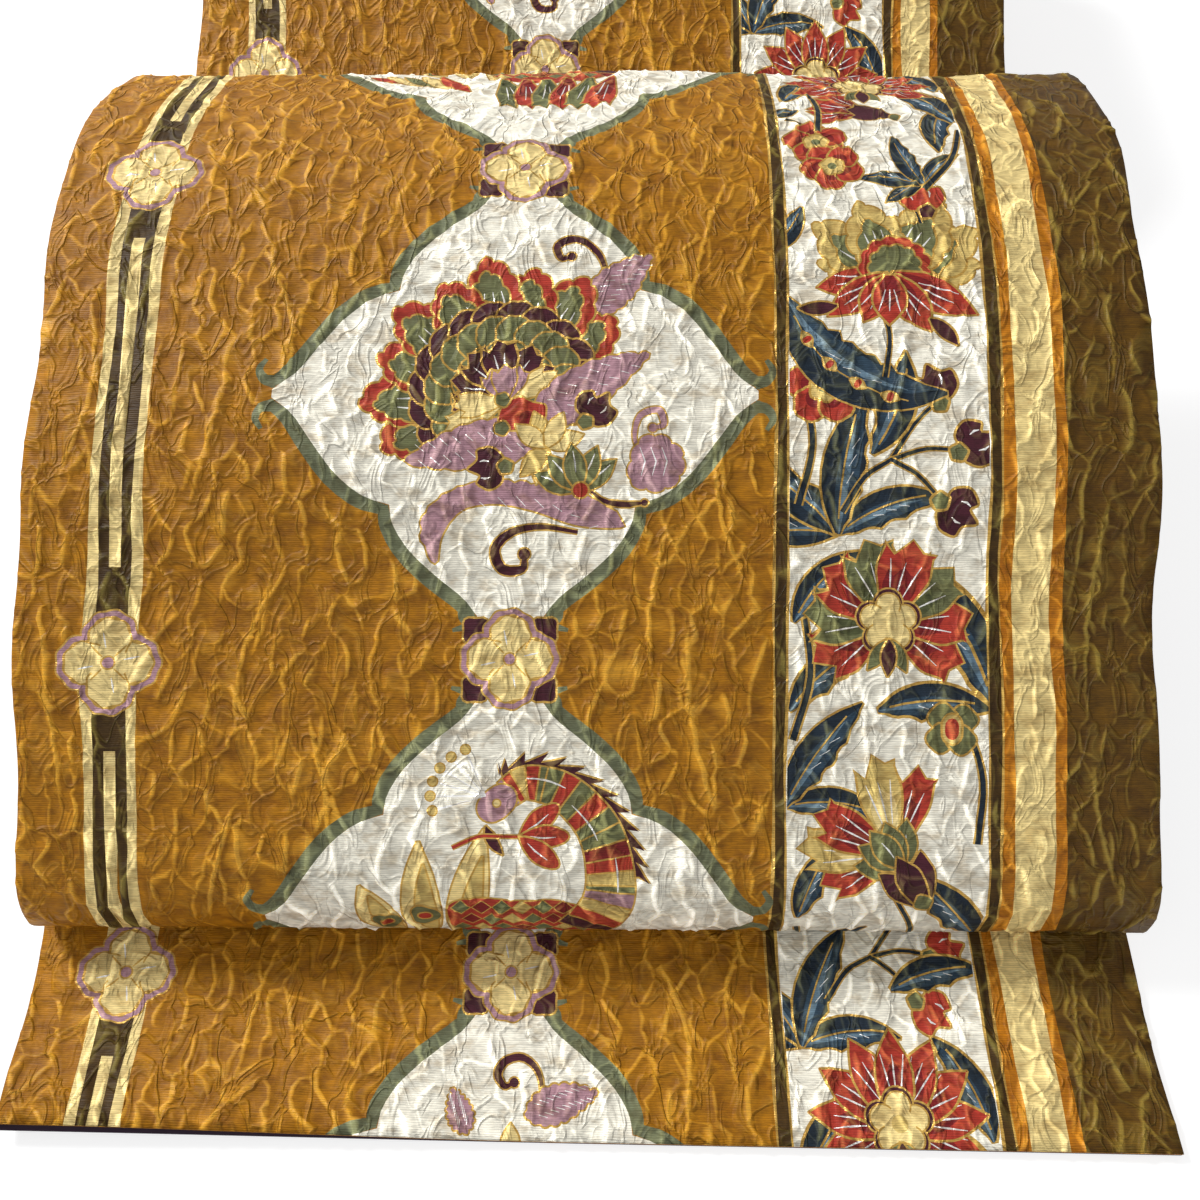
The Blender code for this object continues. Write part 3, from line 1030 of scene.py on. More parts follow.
def bird(d):
    """A crested bird with a banded neck that holds a red leaf."""
    d.at(0, 0)
    for x, y, turn, length in ((-30, -4, 30, 24), (-22, -6, 8, 36), (-14, -8, -6, 42)):
        d.at(x, y - 6, 1.0, turn)
        d.figure(leaf(length, 11, 0.15, 0, steps=16), "cream")
        d.figure(leaf(length * 0.8, 6.0, 0.15, steps=12) + (1.0, 1), "straw")
        d.at(0.8, length * 0.36)
        d.figure(ring(4.2, 0.12, 3, steps=24), "moss")
        d.figure(ring(1.8, 0.15, 2, steps=14), "madder")
        d.back()
        d.back()
    for k in range(5):
        d.figure_at((-36 + 4 * k, -18 - 2 * k, 1.0, 78 - 8 * k),
                    leaf(20, 6, 0.4, 3), ("madder", "cream", "moss", "cream", "madder")[k])
    # The body is a long shape with slanting bands, and the tail's feathers hang below it.
    body = smooth([(-17, 4), (-9, 8), (2, 7), (14, 7), (24, 2), (26, -8), (16, -17), (0, -18),
                   (-12, -12)], 5, True)
    d.figure(body, "madder")
    for row in range(4):
        for col in range(7):
            x = -13 + 5.6 * col + 2.8 * (row % 2)
            y = 4.5 - 5.0 * row
            diamond = np.array([(x - 2.7, y), (x, y + 2.6), (x + 2.7, y), (x, y - 2.6)])
            d.figure(diamond, ("moss", "madder deep", "moss", "straw")[(row + col) % 4], 0.45)
    for k in range(6):
        toothed_petal(d, 26, 10, *(RED if k % 2 else GREEN), 192 - 5 * k, 3, 2, -10 + 7 * k, -14)
    neck = smooth([(20, -6), (27, 6), (27.5, 17), (24, 28), (15, 37), (5, 39.5), (-1, 36)], 6)
    widths = np.linspace(15.5, 8.0, len(neck))
    normals = turned_normals(neck, False)
    mane = []
    for index in range(10, len(neck) - 1):
        spike = 4.4 if index % 2 else 1.0
        lean = neck[max(0, index - 3)] - neck[index] if index % 2 else np.zeros(2)
        mane.append(neck[index] + normals[index] * (widths[index] / 2 + spike) + lean * 0.8)
    inner = neck[10:len(neck) - 1]
    d.figure(np.vstack([np.array(mane), inner[::-1]]), "plum")
    d.fill(band(neck, widths + 0.6), "gold thread", True)
    colours = ("plum", "madder", "straw", "mauve", "moss", "straw", "madder", "madder deep", "moss",
               "moss", "madder", "moss", "madder", "moss", "moss", "madder", "straw", "madder",
               "mauve")
    last = len(neck) - 1
    for k, dye in enumerate(colours):
        low = int(round(last * k / len(colours)))
        high = int(round(last * (k + 1) / len(colours)))
        if high > low:
            d.fill(band(neck[low:high + 1], widths[low:high + 1] - 0.5), dye)
            cut = np.stack([neck[low] - normals[low] * widths[low] / 2,
                            neck[low] + normals[low] * widths[low] / 2])
            d.stroke(cut, 0.5, "gold thread", True)
    d.stitches([neck[8:14] + normals[8:14] * 2.0, neck[16:23] - normals[16:23] * 1.5,
                neck[24:31] + normals[24:31] * 1.2])
    d.at(-3.0, 34, 1.0, 40)
    d.figure(ring(5.2, 0.16, 2, steps=30), "mauve")
    d.figure(ring(1.1, steps=12), "cream", 0.4)
    d.back()
    d.figure_at((-6, 28, 1.0, 196), leaf(9.5, 3.4, -0.5), "plum")
    for k in range(6):
        angle = math.radians(112 + 17 * k)
        tip = (-6 + 15 * math.cos(angle), 36 + 15 * math.sin(angle) * 0.9)
        d.stroke([(-6, 36), tip], (0.3, 0.5), "silver thread", True)
        d.figure_at(tip, ring(1.4, steps=12), "straw", 0.4)
    d.piped(smooth([(-15, 22), (-8, 25), (-2, 25), (3, 25)], 4), 0.9, "madder")
    for turn in (-52, -90, -128):
        d.at(3, 25, 1.0, turn)
        d.figure(petal(13, 8, 2, 0.1), "madder")
        d.stitches([[(0, 3), (0.4, 6), (0.2, 10)]])
        d.back()
    d.back()


def draw_cloth(length):
    """Everything dyed on the face cloth, from its end to the given length."""
    d = Drawing()
    low, high = -60.0, length + 60.0
    for u0, u1, dye, gilt in STRIPES:
        rows = np.arange(low, high, 9.0)
        left = [(u0 + edge_waver(u0, v), v) for v in rows]
        right = [(u1 + edge_waver(u1, v), v) for v in rows]
        d.fill(left + right[::-1], dye, gilt)
    first = int((low - FLOWER_START) / FLOWER_STEP) - 1
    flowers = [FLOWER_START + FLOWER_STEP * k for k in range(first, int(high / FLOWER_STEP) + 2)]
    for index, v in enumerate(flowers):
        middle = v + FLOWER_STEP / 2
        gap = 25.0
        d.fill([(24.2, v + gap), (27.5, v + gap), (27.5, v + FLOWER_STEP - gap),
                (24.2, v + FLOWER_STEP - gap)], "cream")
        d.at(MEDALLION_MIDDLE, middle)
        medallion_frame(d)
        if index + first == -1:
            end_flower(d)
        elif (index + first) % 2:
            fan_flower(d)
        else:
            bird(d)
        d.back()
    for v in flowers:
        d.at(MEDALLION_MIDDLE, v)
        joining_flower(d)
        d.back()
        d.at(STRIPE_MIDDLE, v - 1, 1.04)
        joining_flower(d, False)
        d.back()
    for repeat in range(-1, int(high / BAND_REPEAT) + 1):
        for motif, u, v, size, turn, flip in FLOWERED_BAND:
            start = len(d.shapes)
            d.at(u, v + BAND_REPEAT * repeat, size, turn, flip)
            MOTIFS[motif](d)
            d.back()
            for k in range(start, len(d.shapes)):
                points, dye, gilt = d.shapes[k]
                points = clipped(clipped(points, 0, BAND_LEFT, 1), 0, BAND_RIGHT, -1)
                d.shapes[k] = (points, dye, gilt)
    return [shape for shape in d.shapes if len(shape[0]) > 2]


def edge_waver(u, v):
    """How a dyed line strays, in millimetres; the outer edge of the cloth stays straight."""
    return 0.0 if u > WIDTH - 1 else 0.22 * math.sin(v / 17 + u) + 0.15 * math.sin(v / 6.1 + 2 * u)


def clipped(points, axis, limit, side):
    """The part of an outline on one side of a straight line across or along the cloth."""
    out = []
    count = len(points)
    for index in range(count):
        a, b = points[index], points[(index + 1) % count]
        a_in = (a[axis] - limit) * side >= 0
        b_in = (b[axis] - limit) * side >= 0
        if a_in:
            out.append(a)
        if a_in != b_in:
            t = (limit - a[axis]) / (b[axis] - a[axis])
            point = a + (b - a) * t
            point[axis] = limit
            out.append(point)
    return np.array(out)


# ---------------------------------------------------------------- meshes

def triangulated(points, edges):
    verts, _, faces, *_ = geometry.delaunay_2d_cdt(
        [Vector(p) for p in points], edges, [], 0, 1e-4, False)
    return np.array([tuple(v) for v in verts]), np.array(faces)


def hex_grid(v0, v1, spacing, seed):
    """Slightly uneven points over a stretch of cloth, clear of its edges."""
    rng = np.random.default_rng(seed)
    rows = np.arange(v0 + spacing * 0.7, v1 - spacing * 0.5, spacing * 0.87)
    cols = np.arange(spacing * 0.7, WIDTH - spacing * 0.5, spacing)
    grid = []
    for index, v in enumerate(rows):
        u = cols + (spacing / 2 if index % 2 else 0.0)
        u = u[u < WIDTH - spacing * 0.4]
        jitter = rng.uniform(-0.18, 0.18, (len(u), 2)) * spacing
        grid.append(np.stack([u, np.full_like(u, v)], axis=1) + jitter)
    return np.vstack(grid)


def fold_rows(way, v0, v1, spacing):
    """Extra rows of points where the cloth turns too sharply for the grid."""
    turn = np.abs(np.diff(np.unwrap(np.arctan2(way.ns, way.nh))))
    size = np.diff(way.v)
    rows = []
    for index in range(len(size)):
        if size[index] < 1e-9 or turn[index] / size[index] < 0.06:
            continue
        v = way.v[index + 1]
        if v0 + 0.05 < v < v1 - 0.05:
            cols = np.arange(spacing, WIDTH - spacing * 0.5, spacing)
            rows.append(np.stack([cols, np.full_like(cols, v)], axis=1))
    return rows


def border(way, v0, v1, spacing):
    """Points round the edge of a stretch, with one at each bend of its way."""
    along = list(np.arange(v0 + spacing, v1 - spacing * 0.4, spacing))
    turn = np.abs(np.diff(np.unwrap(np.arctan2(way.ns, way.nh))))
    size = np.diff(way.v)
    for index in range(len(size)):
        v = way.v[index + 1]
        if size[index] > 1e-9 and turn[index] / size[index] > 0.06 and v0 + 0.1 < v < v1 - 0.1:
            along.append(v)
    along = np.unique(np.round(along, 3))
    across = np.arange(spacing, WIDTH - spacing * 0.4, spacing)
    loop = [(0.0, v0)] + [(u, v0) for u in across] + [(WIDTH, v0)]
    loop += [(WIDTH, v) for v in along] + [(WIDTH, v1)]
    loop += [(u, v1) for u in across[::-1]] + [(0.0, v1)]
    loop += [(0.0, v) for v in along[::-1]]
    return loop


def thin_out(points, keep_clear, distance):
    """Drop the points of a grid that lie too near to drawn lines."""
    cells = set()
    for u, v in keep_clear:
        cells.add((int(u / distance), int(v / distance)))
    near = [(a, b) for a in (-1, 0, 1) for b in (-1, 0, 1) if abs(a) + abs(b) < 2]
    kept = []
    for u, v in points:
        cell = (int(u / distance), int(v / distance))
        if not any((cell[0] + a, cell[1] + b) in cells for a, b in near):
            kept.append((u, v))
    return np.array(kept)


def spare_points(points, slack=0.1, reach=5.0):
    """An outline without the points that it looks the same without."""
    for _ in range(4):
        if len(points) < 8:
            break
        before, after = np.roll(points, 1, axis=0), np.roll(points, -1, axis=0)
        span = after - before
        size = np.maximum(np.hypot(span[:, 0], span[:, 1]), 1e-9)
        step = points - before
        away = np.abs(span[:, 0] * step[:, 1] - span[:, 1] * step[:, 0]) / size
        drop = (away < slack) & (size < reach)
        drop[1::2] = False
        points = np.roll(points[~drop], 1, axis=0)
    return points


def owners(centres, used):
    """The index of the last shape over each point of the cloth, or -1 for the ground."""
    owner = np.full(len(centres), -1)
    order = np.argsort(centres[:, 1])
    sorted_v = centres[order, 1]
    for index, (outline, _) in enumerate(used):
        low, high = np.searchsorted(sorted_v, (outline[:, 1].min(), outline[:, 1].max()))
        chosen = order[low:high]
        u = centres[chosen, 0]
        chosen = chosen[(u > outline[:, 0].min()) & (u < outline[:, 0].max())]
        owner[chosen[within(centres[chosen], outline)]] = index
    return owner


def dye_edges(v0, v1, shapes):
    """The lines along which the dye changes: their points and edges, and the shapes in reach."""
    points = [(0.0, v0), (WIDTH, v0), (WIDTH, v1), (0.0, v1)]
    edges = [(0, 1), (1, 2), (2, 3), (3, 0)]
    used = []
    for shape in shapes:
        outline = shape[0]
        low, high = outline[:, 1].min(), outline[:, 1].max()
        if high <= v0 or low >= v1 or (low > BURIED[0] and high < BURIED[1] and high - low < 60):
            continue
        outline = spare_points(outline)
        for axis, limit, side in ((0, 0.0, 1), (0, WIDTH, -1), (1, v0, 1), (1, v1, -1)):
            if len(outline):
                outline = clipped(outline, axis, limit, side)
        if len(outline) < 3:
            continue
        used.append((outline, shape))
        start = len(points)
        points += [tuple(p) for p in outline]
        edges += [(start + k, start + (k + 1) % len(outline)) for k in range(len(outline))]
    verts, faces = triangulated(points, edges)
    kinds = {}
    kind = np.array([kinds.setdefault(shape[1:], len(kinds)) for _, shape in used] + [-1])
    tag = kind[owners(verts[faces].mean(axis=1), used)]
    pairs = np.sort(np.vstack([faces[:, [0, 1]], faces[:, [1, 2]], faces[:, [2, 0]]]), axis=1)
    face = np.tile(np.arange(len(faces)), 3)
    order = np.lexsort((pairs[:, 1], pairs[:, 0]))
    pairs, face = pairs[order], face[order]
    first = np.flatnonzero((pairs[1:] == pairs[:-1]).all(axis=1))
    kept = pairs[first[tag[face[first]] != tag[face[first + 1]]]]
    ids, edge = np.unique(kept, return_inverse=True)
    return verts[ids], edge.reshape(-1, 2), used


def dyed_sheet(way, v0, v1, shapes, crests, spacing, seed):
    """A flat triangulated stretch of cloth cut along the lines drawn on it and its crests.

    Returns its points, its triangles, and the index of each triangle's shape, or -1."""
    points = border(way, v0, v1, spacing)
    count = len(points)
    edges = [(k, (k + 1) % count) for k in range(count)]
    drawn = []
    used = []
    if shapes:
        lines, line_edges, used = dye_edges(v0, v1, shapes)
        edges += [(a + count, b + count) for a, b in line_edges.tolist()]
        drawn = [tuple(p) for p in lines]
        points += drawn
    for line, _ in crests:
        if BURIED[0] < line[0][1] < BURIED[1]:
            continue
        inside = [(0.6 < u < WIDTH - 0.6 and v0 + 0.6 < v < v1 - 0.6) for u, v in line]
        start = len(points)
        points += [tuple(p) for p in line]
        drawn += [tuple(p) for p in line]
        for k in range(len(line) - 1):
            if inside[k] and inside[k + 1]:
                edges.append((start + k, start + k + 1))
        side = turned_normals(line, False) * CREST_FOOT
        for flank in (line + side, line - side):
            foot = [tuple(p) for p, kept in zip(flank, inside) if kept]
            points += foot
            drawn += foot
    cells = hex_grid(v0, v1, spacing, seed)
    buried = (cells[:, 1] > BURIED[0]) & (cells[:, 1] < BURIED[1])
    cells = cells[~buried | (np.arange(len(cells)) % 3 == 0)]
    grid = thin_out(cells, drawn, 0.5 * spacing)
    rows = fold_rows(way, v0, v1, spacing * 1.6)
    inside = [(min(max(u, 0.0), WIDTH), min(max(v, v0), v1)) for u, v in points]
    everything = inside + [tuple(p) for p in grid]
    for row in rows:
        everything += [tuple(p) for p in row]
    verts, faces = triangulated(everything, edges)
    owner = owners(verts[faces].mean(axis=1), used)
    return verts, faces, owner, [shape for _, shape in used]


def within(points, outline):
    """Which points lie inside an outline."""
    inside = np.zeros(len(points), bool)
    x, y = points[:, 0], points[:, 1]
    for (x0, y0), (x1, y1) in zip(outline, np.roll(outline, -1, axis=0)):
        if y0 == y1:
            continue
        crosses = (y0 > y) != (y1 > y)
        inside ^= crosses & (x < (x1 - x0) * (y - y0) / (y1 - y0) + x0)
    return inside


def edge_loop(verts, v0, v1):
    """Indices of a sheet's edge points, in order round it."""
    u, v = verts.T
    near = 1e-4
    sides = (
        (np.abs(v - v0) < near, u, 1),
        (np.abs(u - WIDTH) < near, v, 1),
        (np.abs(v - v1) < near, u, -1),
        (np.abs(u) < near, v, -1),
    )
    loop = []
    for chosen, key, way_round in sides:
        index = np.flatnonzero(chosen)
        index = index[np.argsort(key[index] * way_round, kind="stable")]
        loop += [k for k in index if not loop or k != loop[-1]]
    if loop[0] == loop[-1]:
        loop.pop()
    return loop


def lay_points(way, uv, depth, relief, rise, pull=None):
    """World places of cloth points at a depth below the face, raised by relief in mm."""
    u, v = uv.T
    s, h, ns, nh = way.at(v if pull is None else v + pull(u, v))
    lift = relief * MM - depth
    s = s + ns * lift
    h = h + nh * lift
    if rise is not None:
        h = h + rise(u, v)
    x = (u - WIDTH / 2) * MM + edge_wave(u, v)
    return table_place(x, s, h)


def edge_wave(u, v):
    """The cloth's long edges waver a little; its middle doesn't."""
    side = (u / WIDTH * 2 - 1) ** 3
    return side * MM * (0.9 * np.sin(v / 21 + side * 2) + 0.5 * np.sin(v / 9.3 + 1 + side))


def tare_rise(u, v):
    """The left part of the sash's end stands a little off the table."""
    left = ease(1 - u / 165)
    return 0.0034 * left * ease(1 - v / 34)


def tare_pull(u, v):
    """The face is drawn back from the lining at the sash's lifted end."""
    return 1.3 * ease(1 - u / 150) * ease(1 - v / 30)


def cloth_shell(name, way, v0, v1, outside, inside, figured, options):
    """A closed thin shell of cloth over a stretch of a way."""
    spacing = options["spacing"]
    shapes = options["shapes"] if figured else []
    crimp = options.get("crimp")
    crests = crimp.lines if figured else []
    verts, faces, owner, used = dyed_sheet(way, v0, v1, shapes, crests, spacing, options["seed"])
    loop = edge_loop(verts, v0, v1)
    u, v = verts.T
    slow = options["swell"](u, v)
    crest = crimp.at(u, v) * options["press"](v) if figured else np.zeros(len(verts))
    outer = lay_points(way, verts, outside, slow + crest, options["rise"],
                       options.get("pull") if figured else None)
    rim = verts[loop]
    inner_grid = [tuple(p) for p in rim]
    ring_edges = [(k, (k + 1) % len(loop)) for k in range(len(loop))]
    inner_grid += [tuple(p) for p in hex_grid(v0, v1, options["back_spacing"], options["seed"] + 5)]
    for row in fold_rows(way, v0, v1, options["back_spacing"]):
        inner_grid += [tuple(p) for p in row]
    back_verts, back_faces = triangulated(inner_grid, ring_edges)
    back_loop = edge_loop(back_verts, v0, v1)
    if len(back_loop) != len(loop):
        raise RuntimeError(f"{name}: the two sides of the cloth don't meet along their edge")
    bu, bv = back_verts.T
    inner = lay_points(way, back_verts, inside, options["swell"](bu, bv), options["rise"],
                       options.get("pull") if figured else None)
    total = np.vstack([outer, inner])
    shift = len(outer)
    rim_faces = []
    count = len(loop)
    for k in range(count):
        a, b = loop[k], loop[(k + 1) % count]
        c, e = back_loop[k] + shift, back_loop[(k + 1) % count] + shift
        rim_faces.append((a, c, e))
        rim_faces.append((a, e, b))
    triangles = np.vstack([faces, back_faces[:, ::-1] + shift, np.array(rim_faces)])
    mesh = bpy.data.meshes.new(name)
    mesh.from_pydata(total.tolist(), [], triangles.tolist())
    mesh.shade_smooth()
    piece = bpy.data.objects.new(name, mesh)
    bpy.context.scene.collection.objects.link(piece)
    all_uv = np.vstack([verts, back_verts])
    write_uv(mesh, triangles, all_uv)
    if figured:
        tints = np.tile(dye_colour("ground"), (len(triangles), 1))
        gilt = np.zeros(len(triangles))
        for index, shape in enumerate(used):
            chosen = np.flatnonzero(owner == index)
            tints[chosen] = dye_colour(shape[1])
            gilt[chosen] = float(shape[2])
        write_corners(mesh, "dye", tints)
        write_faces(mesh, "gilt", gilt)
        # The crests' relief, which the material also reads to paint highlights on them and shade at
        # their feet
        crest_all = np.concatenate([crest / 0.9, np.zeros(len(inner))])
        layer = mesh.attributes.new("crest", "FLOAT", "POINT")
        layer.data.foreach_set("value", crest_all.astype(np.float32))
    return piece


def write_uv(mesh, triangles, uv):
    layer = mesh.uv_layers.new(name="cloth")
    corners = (uv[triangles.ravel()] * MM).astype(np.float32)
    layer.data.foreach_set("uv", corners.ravel())


def write_corners(mesh, name, tints):
    layer = mesh.attributes.new(name, "FLOAT_COLOR", "CORNER")
    four = np.hstack([np.repeat(tints, 3, axis=0), np.ones((len(tints) * 3, 1))])
    layer.data.foreach_set("color", four.astype(np.float32).ravel())


def write_faces(mesh, name, values):
    layer = mesh.attributes.new(name, "FLOAT", "CORNER")
    layer.data.foreach_set("value", np.repeat(values, 3).astype(np.float32))


# ---------------------------------------------------------------- sizes and colours


class ObiDyes(bpy.types.PropertyGroup):
    """The colours of the cloth."""
    ground: FloatVectorProperty(name="Ground", description="Golden brown ground of the face",
                                subtype="COLOR", default=srgb(164, 107, 6))
    olive: FloatVectorProperty(name="Olive", description="Dark stripe along the right edge",
                               subtype="COLOR", default=srgb(94, 64, 6))
    walnut: FloatVectorProperty(name="Walnut", description="Dark narrow stripes",
                                subtype="COLOR", default=srgb(70, 48, 10))
    amber: FloatVectorProperty(name="Amber", description="Golden narrow stripes",
                               subtype="COLOR", default=srgb(180, 110, 10))
    cream: FloatVectorProperty(name="Cream", description="Cream stripes and petals",
                               subtype="COLOR", default=srgb(230, 205, 138))
    white: FloatVectorProperty(name="White", description="Undyed cloth behind the figures",
                               subtype="COLOR", default=srgb(240, 235, 218))
    sage: FloatVectorProperty(name="Sage", description="Rims of the medallions",
                              subtype="COLOR", default=srgb(108, 112, 84))
    moss: FloatVectorProperty(name="Moss", description="Green petals",
                              subtype="COLOR", default=srgb(104, 106, 70))
    moss_deep: FloatVectorProperty(name="Deep moss", description="The feet of green petals",
                                   subtype="COLOR", default=srgb(78, 82, 50))
    madder: FloatVectorProperty(name="Madder", description="Red petals",
                                subtype="COLOR", default=srgb(170, 54, 40))
    madder_deep: FloatVectorProperty(name="Deep madder", description="The feet of red petals",
                                     subtype="COLOR", default=srgb(122, 28, 30))
    plum: FloatVectorProperty(name="Plum", description="Darkest petals and curls",
                              subtype="COLOR", default=srgb(70, 26, 38))
    mauve: FloatVectorProperty(name="Mauve", description="Wings and scalloped rims",
                               subtype="COLOR", default=srgb(168, 128, 138))
    straw: FloatVectorProperty(name="Straw", description="Pale gold petals",
                               subtype="COLOR", default=srgb(204, 176, 104))
    indigo: FloatVectorProperty(name="Indigo", description="Edges of the leaves",
                                subtype="COLOR", default=srgb(28, 40, 52))
    indigo_mid: FloatVectorProperty(name="Mid indigo", description="Middles of the leaves",
                                    subtype="COLOR", default=srgb(46, 66, 82))
    indigo_pale: FloatVectorProperty(name="Pale indigo", description="Tips of the leaves",
                                     subtype="COLOR", default=srgb(98, 122, 138))
    gold_thread: FloatVectorProperty(name="Gold thread", description="Outlines of the figures",
                                     subtype="COLOR", default=srgb(196, 156, 78))
    silver_thread: FloatVectorProperty(name="Silver thread", description="Couched lines",
                                       subtype="COLOR", default=srgb(236, 234, 230))
    lining: FloatVectorProperty(name="Lining", description="The cloth behind the face",
                                subtype="COLOR", default=srgb(46, 26, 44))


class ObiSizes(bpy.types.PropertyGroup):
    """The fineness of the cloth."""
    face_spacing: FloatProperty(name="Face spacing", description="Grid of the face, in mm on the cloth",
                                default=3.6, min=1.0)
    back_spacing: FloatProperty(name="Back spacing", description="Grid of hidden sides, in mm",
                                default=6.0, min=2.0)
    crimp_seed: IntProperty(name="Crimp seed", description="Changes the lie of the crinkles",
                            default=7)


def dye_colour(name):
    return tuple(getattr(bpy.context.scene.obi_dyes, name.replace(" ", "_")))


# ---------------------------------------------------------------- materials


class Tree:
    """Short words for building a node tree."""

    def __init__(self, tree):
        self.tree = tree

    def node(self, kind, settings=None, **values):
        node = self.tree.nodes.new("ShaderNode" + kind)
        for name, value in (settings or {}).items():
            setattr(node, name, value)
        for name, value in values.items():
            self.set(node, name.replace("_", " "), value)
        return node

    def set(self, node, name, value):
        socket = node.inputs[int(name)] if name.isdigit() else node.inputs[name]
        if isinstance(value, bpy.types.NodeSocket):
            self.tree.links.new(value, socket)
        else:
            socket.default_value = value

    def math(self, operation, *values):
        node = self.tree.nodes.new("ShaderNodeMath")
        node.operation = operation
        for index, value in enumerate(values):
            self.set(node, str(index), value)
        return node.outputs[0]

    def remap(self, value, low, high, to_low, to_high):
        node = self.tree.nodes.new("ShaderNodeMapRange")
        for index, item in enumerate((value, low, high, to_low, to_high)):
            self.set(node, str(index), item)
        return node.outputs[0]


def node_group(name, inputs, outputs):
    """A new shader node group with its sockets, its tree helper and its two ends."""
    group = bpy.data.node_groups.new(name, "ShaderNodeTree")
    for label, kind, default in inputs:
        socket = group.interface.new_socket(label, in_out="INPUT", socket_type=kind)
        if default is not None:
            socket.default_value = default
    for label, kind in outputs:
        group.interface.new_socket(label, in_out="OUTPUT", socket_type=kind)
    return group, Tree(group), group.nodes.new("NodeGroupInput"), group.nodes.new("NodeGroupOutput")


def rib_weave():
    """Fine ribs of the weft, uneven from pick to pick."""
    group = bpy.data.node_groups.get("Rib weave")
    if group:
        return group
    group, t, ends, out = node_group(
        "Rib weave",
        (("Cloth", "NodeSocketVector", None), ("Pitch", "NodeSocketFloat", 0.5)),
        (("Height", "NodeSocketFloat"), ("Shade", "NodeSocketFloat")))
    scale = t.math("DIVIDE", 1.0, t.math("MULTIPLY", ends.outputs["Pitch"], MM))
    split = t.node("SeparateXYZ", Vector=ends.outputs["Cloth"])
    stretch = t.node("Mapping", Vector=ends.outputs["Cloth"], Scale=(260.0, 1500.0, 1.0))
    picks = t.node("TexNoise", {"noise_dimensions": "2D"}, Vector=stretch.outputs[0], Scale=1.0,
                   Detail=1.0)
    phase = t.math("ADD", t.math("MULTIPLY", split.outputs[1], scale), picks.outputs[0])
    wave = t.math("SINE", t.math("MULTIPLY", phase, 2 * math.pi))
    height = t.math("ADD", t.math("MULTIPLY", wave, 0.5), t.math("MULTIPLY", picks.outputs[0], 1.2))
    t.tree.links.new(height, out.inputs["Height"])
    # Shade follows the rib height: painted shade in the hollows between the ribs and painted light on
    # their tops, with uneven tone from pick to pick
    t.tree.links.new(t.remap(height, -0.1, 1.2, 0.78, 1.16), out.inputs["Shade"])
    return group


def fine_crumple():
    """Small soft wrinkles between the crests: a mask of their ridges and a height."""
    group = bpy.data.node_groups.get("Fine crumple")
    if group:
        return group
    group, t, ends, out = node_group(
        "Fine crumple",
        (("Cloth", "NodeSocketVector", None), ("Size", "NodeSocketFloat", 5.0)),
        (("Ridge", "NodeSocketFloat"), ("Height", "NodeSocketFloat")))
    scale = t.math("DIVIDE", 1.0, t.math("MULTIPLY", ends.outputs["Size"], MM))
    squash = t.node("Mapping", Vector=ends.outputs["Cloth"], Scale=(1.0, 0.62, 1.0))
    folds = t.node("TexNoise", {"noise_dimensions": "2D"}, Vector=squash.outputs[0], Scale=scale,
                   Detail=2.0, Roughness=0.55, Distortion=0.6)
    off = t.math("ABSOLUTE", t.math("SUBTRACT", folds.outputs[0], 0.5))
    ridge = t.remap(off, 0.0, 0.085, 1.0, 0.0)
    t.tree.links.new(t.math("POWER", ridge, 2.2), out.inputs["Ridge"])
    t.tree.links.new(t.math("ADD", t.math("MULTIPLY", ridge, 0.55), folds.outputs[0]),
                     out.inputs["Height"])
    return group


def satin_cloud():
    """Slow and quick unevenness of the dye, as a factor on a colour."""
    group = bpy.data.node_groups.get("Satin cloud")
    if group:
        return group
    group, t, ends, out = node_group(
        "Satin cloud",
        (("Cloth", "NodeSocketVector", None), ("Depth", "NodeSocketFloat", 0.15)),
        (("Shade", "NodeSocketFloat"),))
    drag = t.node("Mapping", Vector=ends.outputs["Cloth"], Scale=(0.8, 1.5, 1.0))
    both = t.node("TexNoise", {"noise_dimensions": "2D"}, Vector=drag.outputs[0], Scale=120.0,
                  Detail=3.0, Roughness=0.75)
    centred = t.math("MULTIPLY", t.math("SUBTRACT", both.outputs[0], 0.5),
                     t.math("MULTIPLY", 3.0, ends.outputs["Depth"]))
    t.tree.links.new(t.math("ADD", centred, 1.0), out.inputs["Shade"])
    return group


def use_group(t, group, **values):
    node = t.tree.nodes.new("ShaderNodeGroup")
    node.node_tree = group
    for name, value in values.items():
        t.set(node, name, value)
    return node


# Shares of the face cloth's relief and colour
WEAVE_RELIEF = 0.06
CRUMPLE_RELIEF = 0.9
GILT_RELIEF = 0.12
CLOUD_DEPTH = 0.36
# CREST_LIGHT: how much the colour is painted lighter along the crests, a painted highlight
CREST_LIGHT = 1.75
# FOOT_SHADE: how dark the colour is painted beside the crests, at their feet: painted shade
FOOT_SHADE = 0.8
BURNT = (0.93, 0.86, 0.78, 1.0)
# CREST_SHEEN: a warm painted sheen screened over the crests' colour
CREST_SHEEN = (0.16, 0.15, 0.035, 1.0)


